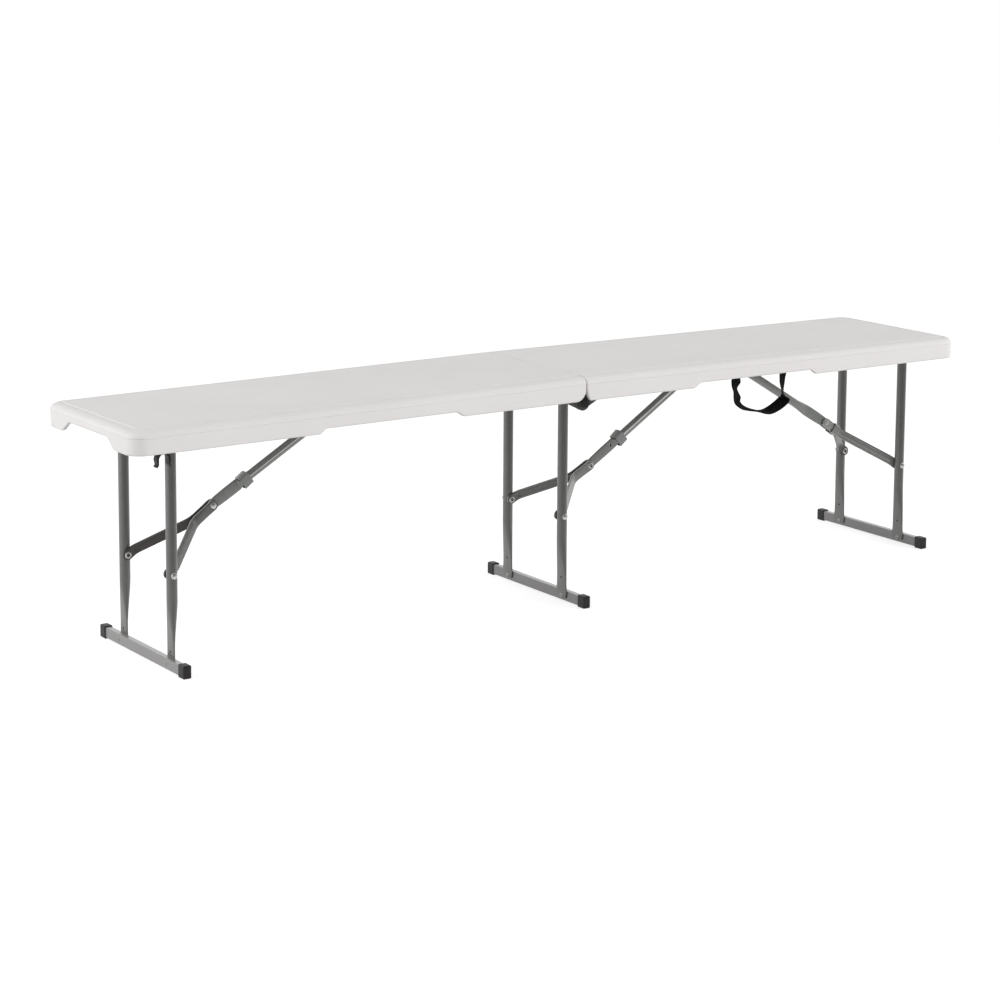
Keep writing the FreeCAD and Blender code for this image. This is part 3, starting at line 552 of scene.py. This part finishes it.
def upright(leg, y):
    rings = []
    flat_wide, flat_middle, low, bulge, _ = FLATS[leg.name]
    heights = [leg.z - 2.0] + spaced(leg.z - 4.0, 122.0, 22)
    heights += spaced(122.0, 50.0, 4) + spaced(50.0, low + END_ROUND, 3)
    heights += [low + d for d in (4.0, 2.4, 1.2, 0.4, 0.0)]
    for z in heights:
        pressed = min(max((PRESS_TOP - z) / PRESS_LONG, 0.0), 1.0)
        pressed = 0.5 * pressed + 0.5 * smooth(pressed)
        thick = POST_RADIUS - (POST_RADIUS - FLAT_THICK) * pressed
        wide = POST_RADIUS + (flat_wide - POST_RADIUS) * pressed
        if z < BULGE_TOP:
            wide += bulge * math.exp(-abs(z - BULGE_Z) / BULGE_FADE)
        if z < low + END_ROUND:
            wide -= END_ROUND - math.sqrt(max(END_ROUND ** 2 - (low + END_ROUND - z) ** 2, 0.0))
        middle = leg.foot * flat_middle * pressed
        rings.append([leg.place(middle + t, y + w, z) for t, w in stadium(thick, wide)])
    shape = Shape()
    shape.loft(rings)
    return shape


def small_hole(leg, y):
    """A round cutter along X through an upright's flat."""
    hole = Shape()
    z = FLATS[leg.name][-1]
    hole.lathe([(SMALL_HOLE, -6.0), (SMALL_HOLE, 8.0)],
               lambda a, b, h: leg.place(h * leg.foot, y + a, z + b), count=16)
    return hole


for leg in LEGS:
    for spot, y in (("back", POST_Y), ("front", -POST_Y)):
        make_piece(f"{leg.name}_leg_{spot}_post", upright(leg, y), "leg_" + leg.name, "frame_steel",
                   [f"upright_{spot}_{leg.name}"], ["post_steel", "shadow_steel"],
                   holes=[small_hole(leg, y)])


# Fork arms: pressed straps with a rib, bent in towards the knee
ARM_FAR, ARM_NEAR, ARM_END, ARM_HALF_THICK = 76.8, 4.7, 9.3, 1.9
BEND_FAR, BEND_NEAR, BEND_REACH = 14.0, 44.0, 10.0
RIB_LOW, RIB_HIGH, RIB_MIDDLE, RIB_HALF, RIB_SLOPE = 0.25, 1.9, 0.08, 0.34, 0.2
WAIST, THIN_EDGE, LEAST = 0.3, 0.5, 0.6
# Points across an arm, as shares of its half width
ARM_SHARES = (-1, -0.9, -0.62, -0.5, -0.36, 0, 0.36, 0.5, 0.62, 0.9, 1)


def arm_line(knee):
    """Centre line of an arm as (along, out), with its two bends rounded."""
    corners = [(-8.5, ARM_FAR), (BEND_FAR, ARM_FAR), (knee - BEND_NEAR, ARM_NEAR), (knee + 8.5, ARM_NEAR)]
    points = [(x, ARM_FAR) for x in (-ARM_END, -9.0, -8.0, -6.4, -4.2, -2.0, 0.0, 3.0)]
    for i in (1, 2):
        before, here, after = (Vector(c) for c in corners[i - 1:i + 2])
        into, out = (here - before).normalized(), (after - here).normalized()
        start, end = here - into * BEND_REACH, here + out * BEND_REACH
        for j in range(9):
            t = j / 8
            points.append(tuple(start * (1 - t) ** 2 + here * 2 * t * (1 - t) + end * t * t))
        if i == 1:
            far = Vector(corners[2]) - out * BEND_REACH
            points += [tuple(end.lerp(far, k / 6)) for k in range(1, 6)]
    points += [(knee + d, ARM_NEAR) for d in (-28, -22, -16, -10, -5, 0.0, 2.2, 4.4, 6.6, 8.0, 9.0, ARM_END)]
    return points


def fork_arm(leg, side):
    """One arm. Its rib stands out on the back arms of the left and middle legs and on the front arm
    of the right leg, and is almost flat on the others."""
    knee = leg.fork_long
    high = RIB_LOW if (side < 0) == (leg.name != "right") else RIB_HIGH
    line = arm_line(knee)
    rings = []
    for i, (x, out) in enumerate(line):
        ax, ay = line[max(i - 1, 0)]
        bx, by = line[min(i + 1, len(line) - 1)]
        way = Vector((bx - ax, by - ay)).normalized()
        across = Vector((-way.y, way.x))
        if x < 0:
            wide = math.sqrt(max(ARM_END ** 2 - x * x, LEAST))
        elif x > knee:
            wide = math.sqrt(max(ARM_END ** 2 - (x - knee) ** 2, LEAST))
        else:
            wide = ARM_END - WAIST * smooth((x - 4.0) / 12.0) * smooth((knee - 4.0 - x) / 12.0)
        rib = high * smooth((x - 11.0) / 7.0) * smooth((knee - 13.0 - x) / 8.0)
        outer, inner = [], []
        for share in ARM_SHARES:
            lift = rib * (1 - smooth((abs(share - RIB_MIDDLE) - RIB_HALF) / RIB_SLOPE))
            thin = THIN_EDGE if abs(share) == 1 else 0.0
            spot = Vector((x, out))
            top = spot + across * (ARM_HALF_THICK - thin + lift)
            under = spot + across * (-ARM_HALF_THICK + thin + lift)
            outer.append((top.x, side * top.y, share * wide))
            inner.append((under.x, side * under.y, share * wide))
        rings.append(outer + inner[::-1])
    shape = Shape()
    shape.loft(rings)
    return shape.moved(leg.fork())


# Each arm's finish. All but the middle front arm carry painted light or shade: the right front arm lighter,
# the others darker.
ARM_FINISH = {
    ("left", "front"): "arm_steel", ("mid", "front"): "frame_steel", ("right", "front"): "right_arm_steel",
    ("left", "back"): "inner_steel", ("mid", "back"): "post_steel", ("right", "back"): "inner_steel",
}
for leg in LEGS:
    for spot, side in (("back", 1), ("front", -1)):
        make_piece(f"{leg.name}_fork_{spot}_strap", fork_arm(leg, side), "fork_" + leg.name,
                   "frame_steel", [f"fork_arm_{spot}_{leg.name}"], [ARM_FINISH[leg.name, spot]], sharp=40)


# Upper braces: round tubes pressed into a plate towards the knee. Lengths are counted from the knee
TUBE, NECK, NECK_LONG, NECK_STEP = 8.2, 6.5, 42.0, 15.0
MOUTH, BORE, BORE_LONG, PAST_PIN = 5.4, 5.3, 9.0, 5.5
PLATE_THICK, PLATE_ROUND, PLATE_AT_KNEE, PLATE_WIDENS = 2.5, 8.5, 9.2, 0.9
# Where the plate ends, how long it takes to become a tube, and the plate's half width
PRESSED = {"left": (58.0, 9.0, 11.2), "mid": (66.0, 10.0, 10.4), "right": (54.0, 40.0, 11.0)}
# Faces round the tube that carry a painted highlight, a bright line along it
HIGHLIGHT_LINE = {"left": (14,), "mid": (13, 14), "right": ()}
DIMPLE = ((2.3, 0.0), (2.1, 0.5), (1.5, 1.0), (0.7, 1.25), (0.01, 1.3))
DIMPLE_AT, DIMPLE_Y = (78.0, 1.5), 4.9
STOP_HOLE, STOP_HOLE_AT = 2.3, (59.0, 1.0)


def brace_tube(leg):
    rings = []
    start, length, plate = PRESSED[leg.name]
    neck = leg.link_long - NECK_LONG
    along = [-8.5, -8.3, -7.6, -6.2, -4.0, -1.5, 0.0] + spaced(4.0, start, 6)
    along += spaced(start, start + length, length / 12) + [start + length, 140.0, neck]
    along += [leg.link_long - d for d in (39.0, 36.0, 33.0, 30.0, 27.0, -PAST_PIN)]
    for u in along:
        pressed = 1 - smooth((u - start) / length)
        tube = TUBE - (TUBE - NECK) * smooth((u - neck) / NECK_STEP)
        thick = tube - (TUBE - PLATE_THICK) * pressed
        plate_now = PLATE_AT_KNEE + (plate - PLATE_AT_KNEE - PLATE_WIDENS) * smooth(u / 12.0)
        plate_now += PLATE_WIDENS * smooth(u / 40.0)
        wide = tube + (plate_now - TUBE) * pressed
        if u < 0:
            wide = math.sqrt(max(PLATE_ROUND ** 2 - u * u, 6.6))
        rings.append([(u, t, w) for t, w in stadium(thick, max(wide, thick))])
    for radius, u in ((MOUTH, leg.link_long + PAST_PIN), (BORE, leg.link_long + PAST_PIN - BORE_LONG)):
        rings.append([(u, t, w) for t, w in stadium(radius, radius)])
    shape = Shape()
    shape.loft(rings)
    first = along.index(start + length)
    # Paint the highlight line on these faces
    for face in range(first * AROUND, (len(along) - 1) * AROUND):
        if face % AROUND in HIGHLIGHT_LINE[leg.name]:
            shape.finish[face] = 1
    if leg.name == "right":
        u, v = DIMPLE_AT
        shape.lathe(DIMPLE, lambda a, b, h: (u + a, -(DIMPLE_Y + h), v + b), count=14)
    return shape.moved(leg.link())


def stop_hole(leg):
    """A round cutter along Y through the plate of the middle brace."""
    u, v = STOP_HOLE_AT
    hole = Shape()
    hole.lathe([(STOP_HOLE, -9.0), (STOP_HOLE, 9.0)], lambda a, b, h: (u + a, h, v + b), count=18)
    return hole.moved(leg.link())


for leg in LEGS:
    holes = [stop_hole(leg)] if leg.name == "mid" else []
    make_piece(leg.name + "_brace_bar", brace_tube(leg), "link_" + leg.name, "frame_steel",
               ["brace_tube_" + leg.name], ["frame_steel", "weld_steel", "shadow_steel"],
               sharp=42, holes=holes)


# Lock rings: bands bent round the brace, with painted shade inside
OUTER_ROUND, SLIM_ROUND, INNER_ROUND, EDGE = 3.4, 3.0, 1.9, 0.45
RING_LONG, SPLIT_LONG, SPLIT_BACK = 19.0, 15.0, 28.0
SPLIT_HALF, SPLIT_WALL, SPLIT_SLOT = 9.4, 1.3, 3.1
# Inner half sizes, wall, middle's distance from the knee, lean in degrees, and how low it hangs
LOOSE_RINGS = {"left": (9.0, 10.2, 1.4, 74.0, 6.0, 0.7), "mid": (9.0, 10.8, 1.5, 83.0, 7.0, 0.0)}


def rounded(half_y, half_z, radius, count=5):
    """A rectangle with round corners, as (y, z) pairs."""
    loop = []
    for sy, sz, start in ((1, 1, 0), (-1, 1, 90), (-1, -1, 180), (1, -1, 270)):
        for i in range(count + 1):
            a = math.radians(start + 90 * i / count)
            y, z = sy * (half_y - radius), sz * (half_z - radius)
            loop.append((y + radius * math.cos(a), z + radius * math.sin(a)))
    return loop


def band(inner_y, inner_z, wall, long):
    """A closed band with softened outer edges."""
    outer = rounded(inner_y + wall, inner_z + wall, OUTER_ROUND)
    slim = rounded(inner_y + wall - EDGE, inner_z + wall - EDGE, SLIM_ROUND)
    inside = rounded(inner_y, inner_z, INNER_ROUND)
    half = long / 2
    shape = Shape()
    rows = [(slim, -half), (outer, -half + EDGE), (outer, half - EDGE), (slim, half)]
    shape.loft([[(x, y, z) for y, z in loop] for loop, x in rows], caps=(False, False))
    shape.loft([[(-half, y, z) for y, z in loop] for loop in (inside, slim)], caps=(False, False))
    shape.loft([[(half, y, z) for y, z in loop] for loop in (slim, inside)], caps=(False, False))
    # The inside, in painted shade
    shape.loft([[(x, y, z) for y, z in inside] for x in (half, -half)], caps=(False, False), finish=1)
    return shape


def split_band(inner_y, inner_z, wall, long, slot):
    """Two channels, front and back, with slots of half width slot between them."""
    shape = Shape()
    half = long / 2
    for side in (1, -1):
        outer = rounded(inner_y + wall, inner_z + wall, OUTER_ROUND)
        inside = rounded(inner_y, inner_z, INNER_ROUND)
        keep = [i for i, p in enumerate(outer) if p[0] > 0]
        order = sorted(keep, key=lambda i: math.atan2(outer[i][1], outer[i][0]))
        out = [(slot, -inner_z - wall)] + [outer[i] for i in order] + [(slot, inner_z + wall)]
        into = [(slot, -inner_z)] + [inside[i] for i in order] + [(slot, inner_z)]
        count = len(out)
        points = []
        for x in (-half, half):
            points += [(x, side * y, z) for y, z in out]
            points += [(x, side * y, z) for y, z in into]
        a, b, c, d = 0, count, 2 * count, 3 * count
        end = count - 1
        skin, shade_faces = [(a, b, d, c), (a + end, b + end, d + end, c + end)], []
        for i in range(count - 1):
            skin.append((a + i, a + i + 1, c + i + 1, c + i))
            skin.append((a + i, a + i + 1, b + i + 1, b + i))
            skin.append((c + i, c + i + 1, d + i + 1, d + i))
            shade_faces.append((b + i, b + i + 1, d + i + 1, d + i))
        shape.add(points, skin)
        # The insides, in painted shade
        shape.add(points, shade_faces, finish=1)
    return shape


def leaning(spot, along, lean=0.0, low=0.0):
    """A ring's place on its bar: its middle at along and low, its axis leaning by an angle."""
    c, s = math.cos(math.radians(lean)), math.sin(math.radians(lean))
    return lambda u, y, v: spot(along + u * c - v * s, y, u * s + v * c - low)


for leg in LEGS:
    if leg.name in LOOSE_RINGS:
        half_y, half_z, wall, along, lean, low = LOOSE_RINGS[leg.name]
        shape = band(half_y, half_z, wall, RING_LONG).moved(leaning(leg.link(), along, lean, low))
    else:
        shape = split_band(SPLIT_HALF, SPLIT_HALF, SPLIT_WALL, SPLIT_LONG, SPLIT_SLOT)
        shape = shape.moved(leaning(leg.fork(), leg.fork_long - SPLIT_BACK))
    make_piece(leg.name + "_lock_band", shape, "ring_" + leg.name, "ring_steel",
               ["lock_ring_" + leg.name], ["ring_steel", "shadow_steel"], weld=True)


# Rivets, turned from their profiles as (radius, height above the sheet)
DOME = ((3.2, -1.0), (5.6, -0.1), (5.8, 0.25), (5.4, 1.0), (4.4, 1.7), (3.0, 2.2), (1.5, 2.4), (0.01, 2.45))
TUBULAR = ((3.2, -1.0), (5.9, -0.1), (6.1, 0.3), (5.8, 0.9), (5.1, 1.3), (4.4, 1.5), (3.7, 1.3), (3.2, 0.8))
RIVET_BORE = ((3.2, 0.8), (3.0, -2.4), (0.01, -3.0))
BOLT = ((2.0, -1.0), (4.6, -0.1), (4.6, 0.12), (4.2, 0.4), (2.5, 0.6), (0.01, 0.65))
SHANK, BOLT_Z = 3.0, 11.5
OUTER_HEAD_Y, INNER_HEAD_Y, KNEE_HEAD_Y = POST_Y + POST_RADIUS, 74.7, 6.6
# The bolts' two faces of the foot bar, as local (x, way)
BOLT_FACES = ((14.5, 1), (-0.5, -1))


def head(shape, kind, place):
    if kind is TUBULAR:
        shape.lathe(TUBULAR, place, caps=(True, False))
        # The bore inside, in painted shade
        shape.lathe(RIVET_BORE, place, finish=1, caps=(False, True))
    else:
        shape.lathe(kind, place)


def on_y(x, z, y, way, put):
    """Lay a turned shape along Y, its height counted from y by way."""
    return lambda a, b, h: put(x + a, y + way * h, z + b)


def leg_rivets(leg):
    shape = Shape()
    for side in (1, -1):
        kind = DOME if side < 0 or leg.name != "mid" else TUBULAR
        head(shape, kind, on_y(0, RIVET_Z, side * OUTER_HEAD_Y, side, leg.place))
        head(shape, TUBULAR, on_y(0, RIVET_Z, side * INNER_HEAD_Y, -side, leg.place))
        # Short of the heads, so that the tubular one stays hollow
        shape.lathe([(SHANK, -94.6), (SHANK, -78.0)], on_y(0, RIVET_Z, 0, -side, leg.place), count=20)
    return shape


def knee_rivet(leg):
    shape = Shape()
    kind, shank_end = (TUBULAR, 3.5) if leg.name == "mid" else (DOME, 6.0)
    spot = leg.fork()
    for side in (1, -1):
        head(shape, kind, on_y(leg.fork_long, 0, side * KNEE_HEAD_Y, side, spot))
        shape.lathe([(SHANK, 2.8), (SHANK, shank_end)], on_y(leg.fork_long, 0, 0, side, spot), count=20)
    return shape


def foot_bolts(leg):
    """Painted bolts, nearly flush with the foot bar."""
    shape = Shape()
    for y in (POST_Y, -POST_Y):
        for x, way in BOLT_FACES:
            shape.lathe(BOLT, lambda a, b, h: leg.place(leg.foot * (x + way * h), y + a, BOLT_Z + b),
                        count=18)
    return shape


for leg in LEGS:
    make_piece(leg.name + "_leg_rivets", leg_rivets(leg), "leg_" + leg.name, "bright_steel",
               ["arm_rivets_" + leg.name], ["rivet_steel", "shadow_steel"], sharp=50, weld=True)
    # The right knee rivet's head is lighter, a painted highlight
    shown = "lit_steel" if leg.name == "right" else "rivet_steel"
    make_piece(leg.name + "_knee_rivet_heads", knee_rivet(leg), "fork_" + leg.name, "bright_steel",
               ["knee_rivet_" + leg.name], [shown, "shadow_steel"], sharp=50, weld=True)
    make_piece(leg.name + "_foot_bolt_heads", foot_bolts(leg), "leg_" + leg.name, "bright_steel",
               ["foot_screws_" + leg.name], ["frame_steel"], sharp=50)


# Carrying strap: webbing as a ribbon, from points along its middle and the way its width lies
STRAP_X, STRAP_Y = 431.0, -149.0
STRAP_HALF, STRAP_HALF_THICK, STRAP_EDGE = 11.0, 0.75, 0.6
# Units of the weave's pattern in a metre of webbing
WEAVE_UNITS = 10
RIBBON = [
    # (Along the bench, drop from the panel), width's way as (x, y, z)
    ((-91.0, 0.8), (0.0, 1.0, 0.0)), ((-78.0, 0.8), (0.0, 1.0, 0.0)), ((-69.5, 1.5), (0.0, 1.0, 0.0)),
    ((-66.5, 6.0), (0.3, 0.95, 0.0)), ((-68.0, 13.0), (0.85, 0.4, 0.0)), ((-71.5, 22.0), (1.0, -0.05, 0.0)),
    ((-73.5, 31.0), (0.95, 0.25, 0.0)), ((-73.0, 40.0), (0.8, 0.5, 0.0)), ((-70.5, 50.0), (0.85, 0.35, 0.1)),
    ((-66.5, 60.0), (0.75, 0.25, 0.5)), ((-59.5, 69.5), (0.3, 0.65, 0.6)), ((-48.0, 76.0), (0.0, 0.9, 0.42)),
    ((-35.0, 80.5), (0.0, 0.97, 0.2)), ((-21.0, 84.5), (0.0, 1.0, 0.12)), ((-6.0, 88.5), (-0.1, 0.97, 0.2)),
    ((8.0, 88.5), (-0.25, 0.92, 0.3)), ((24.0, 83.5), (-0.36, 0.82, 0.36)),
    ((39.0, 76.0), (-0.42, 0.72, 0.42)), ((48.5, 69.0), (-0.42, 0.66, 0.5)), ((48.5, 63.0), (0.0, 0.9, 0.4)),
    ((45.0, 56.5), (0.5, 0.85, 0.05)), ((43.0, 48.0), (0.46, 0.9, 0.0)), ((42.5, 36.0), (0.3, 1.0, 0.0)),
    ((43.5, 20.0), (0.16, 1.0, 0.0)), ((47.0, 8.0), (0.0, 1.0, 0.0)), ((55.0, 2.8), (0.0, 1.0, 0.0)),
    ((65.0, 1.4), (0.0, 1.0, 0.0)), ((78.0, 0.8), (0.0, 1.0, 0.0)), ((92.0, 0.8), (0.0, 1.0, 0.0)),
]


def catmull(values, i, t):
    """A point of the smooth curve through all values, at t between values i and i + 1."""
    p = [Vector(values[min(max(i + k, 0), len(values) - 1)]) for k in (-1, 0, 1, 2)]
    return 0.5 * (2 * p[1] + (p[2] - p[0]) * t + (2 * p[0] - 5 * p[1] + 4 * p[2] - p[3]) * t * t
                  + (3 * p[1] - p[0] - 3 * p[2] + p[3]) * t ** 3)


def carry_strap():
    middle = [(STRAP_X + x, STRAP_Y, UNDER - drop) for (x, drop), way in RIBBON]
    ways = [way for spot, way in RIBBON]
    line, widths = [], []
    steps, across = 5, 8
    for i in range(len(middle) - 1):
        for j in range(steps):
            line.append(catmull(middle, i, j / steps))
            widths.append(catmull(ways, i, j / steps))
    line.append(Vector(middle[-1]))
    widths.append(Vector(ways[-1]))
    long = 0.0
    rows, marks = [], []
    shares = [2 * k / across - 1 for k in range(across + 1)]
    for i, spot in enumerate(line):
        way = (line[min(i + 1, len(line) - 1)] - line[max(i - 1, 0)]).normalized()
        wide = widths[i] - way * widths[i].dot(way)
        wide.normalize()
        face = way.cross(wide).normalized()
        if i:
            long += (spot - line[i - 1]).length
        row = []
        for turn in (1, -1):
            for share in shares:
                half_thick = STRAP_HALF_THICK * (1 if abs(share) < 1 else STRAP_EDGE)
                row.append(tuple(spot + wide * STRAP_HALF * share * turn + face * half_thick * turn))
        rows.append(row)
        marks.append(long)
    shape = Shape()
    shape.loft(rows)
    strap = make_piece("carrying_strap_webbing", shape, "right_half", "webbing", ["carry_strap"], sharp=50)
    layer = strap.data.uv_layers.new(name="weave")
    count = 2 * (across + 1)
    for face in strap.data.polygons:
        for corner in face.loop_indices:
            vertex = strap.data.loops[corner].vertex_index
            row, k = divmod(vertex, count)
            share = k / across if k <= across else (count - 1 - k) / across
            u, v = marks[row], share * STRAP_HALF * 2
            layer.data[corner].uv = (u * MM * WEAVE_UNITS, v * MM * WEAVE_UNITS)
    return strap, long


strap, strap_long = carry_strap()
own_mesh(strap)


# Setting
FLOOR_HALF = 40
# What the camera sees of the floor, and what reflections see, less of it towards the front
FLOOR_SEEN, FLOOR_MIRRORED, FLOOR_FRONT = 0.74, 0.8, 0.04


def from_side(tree, source, way, near, far, high, low):
    """A level that falls from high to low where a direction turns towards way."""
    facing = node(tree, "ShaderNodeVectorMath", operation="DOT_PRODUCT")
    fill(facing, {1: way})
    tree.links.new(source, facing.inputs[0])
    level = node(tree, "ShaderNodeMapRange", interpolation_type="SMOOTHSTEP")
    fill(level, {"From Min": near, "From Max": far, "To Min": high, "To Max": low})
    tree.links.new(facing.outputs["Value"], level.inputs["Value"])
    return level.outputs[0]


def make_floor():
    """A matt floor that glows to the camera and to reflections, and is clear from below."""
    mesh = bpy.data.meshes.new("floor")
    corners = [(x * FLOOR_HALF, y * FLOOR_HALF, 0) for x, y in ((-1, -1), (1, -1), (1, 1), (-1, 1))]
    mesh.from_pydata(corners, [], [(0, 1, 2, 3)])
    placed("floor", mesh)
    material = bpy.data.materials.new("floor")
    material.use_nodes = True
    tree = material.node_tree
    tree.nodes.clear()
    path = node(tree, "ShaderNodeLightPath")
    matt = node(tree, "ShaderNodeBsdfDiffuse")
    fill(matt, {"Color": (0.5, 0.5, 0.5, 1)})
    glow = node(tree, "ShaderNodeEmission")
    fill(glow, {"Color": (1, 1, 1, 1)})
    spot = node(tree, "ShaderNodeNewGeometry")
    fade = from_side(tree, spot.outputs["Position"], (0, -1, 0), 0.3, 1.0, FLOOR_MIRRORED, FLOOR_FRONT)
    mirrored = node(tree, "ShaderNodeMath", operation="MULTIPLY")
    tree.links.new(path.outputs["Is Glossy Ray"], mirrored.inputs[0])
    tree.links.new(fade, mirrored.inputs[1])
    strength = node(tree, "ShaderNodeMath", operation="MULTIPLY_ADD")
    fill(strength, {1: FLOOR_SEEN})
    tree.links.new(path.outputs["Is Camera Ray"], strength.inputs[0])
    tree.links.new(mirrored.outputs[0], strength.inputs[2])
    tree.links.new(strength.outputs[0], glow.inputs["Strength"])
    both = node(tree, "ShaderNodeAddShader")
    tree.links.new(matt.outputs[0], both.inputs[0])
    tree.links.new(glow.outputs[0], both.inputs[1])
    clear = node(tree, "ShaderNodeBsdfTransparent")
    side = node(tree, "ShaderNodeMixShader")
    tree.links.new(spot.outputs["Backfacing"], side.inputs[0])
    tree.links.new(both.outputs[0], side.inputs[1])
    tree.links.new(clear.outputs[0], side.inputs[2])
    out = node(tree, "ShaderNodeOutputMaterial")
    tree.links.new(side.outputs[0], out.inputs["Surface"])
    mesh.materials.append(material)


def make_world(bright, dim, shine):
    """White to the camera. Its light falls from bright to dim on the side that the camera looks
    from, and what reflections see falls by the two values of shine towards the front."""
    world = bpy.data.worlds.new("world")
    bpy.context.scene.world = world
    world.use_nodes = True
    tree = world.node_tree
    tree.nodes.clear()
    path = node(tree, "ShaderNodeLightPath")
    place = node(tree, "ShaderNodeTexCoord").outputs["Generated"]
    light = from_side(tree, place, (-0.56, -0.83, 0), 0.25, 0.85, bright, dim)
    mirrored = from_side(tree, place, (0, -1, 0), 0.3, 0.75, *shine)
    pick = node(tree, "ShaderNodeMix", data_type="FLOAT")
    tree.links.new(path.outputs["Is Glossy Ray"], pick.inputs["Factor"])
    tree.links.new(light, pick.inputs[2])
    tree.links.new(mirrored, pick.inputs[3])
    soft = node(tree, "ShaderNodeBackground")
    fill(soft, {"Color": (1, 1, 1, 1)})
    tree.links.new(pick.outputs[0], soft.inputs["Strength"])
    white = node(tree, "ShaderNodeBackground")
    fill(white, {"Color": (1, 1, 1, 1), "Strength": 1.0})
    mix = node(tree, "ShaderNodeMixShader")
    out = node(tree, "ShaderNodeOutputWorld")
    tree.links.new(path.outputs["Is Camera Ray"], mix.inputs[0])
    tree.links.new(soft.outputs[0], mix.inputs[1])
    tree.links.new(white.outputs[0], mix.inputs[2])
    tree.links.new(mix.outputs[0], out.inputs["Surface"])


def lamp(name, place, aim, size, power, glossy=True):
    data = bpy.data.lights.new(name, "AREA")
    data.shape = "RECTANGLE"
    data.size, data.size_y = size
    data.energy = power
    made = placed(name, data)
    way = Vector(aim) - Vector(place)
    made.matrix_world = Matrix.Translation(place) @ way.to_track_quat("-Z", "Y").to_matrix().to_4x4()
    made.visible_glossy = glossy


make_floor()
make_world(0.63, 0.12, (1.4, 0.04))
lamp("left", (-5.5, 1.6, 2.0), (0, 0, 0.3), (3.0, 3.0), 165)
lamp("right", (4.5, -4.5, 1.6), (0, 0, 0.3), (2.6, 2.6), 190, glossy=False)
lamp("front", (-2.4, -6.0, 0.8), (0, 0, 0.35), (4.0, 1.4), 124, glossy=False)

bpy.context.scene.view_settings.view_transform = "Standard"
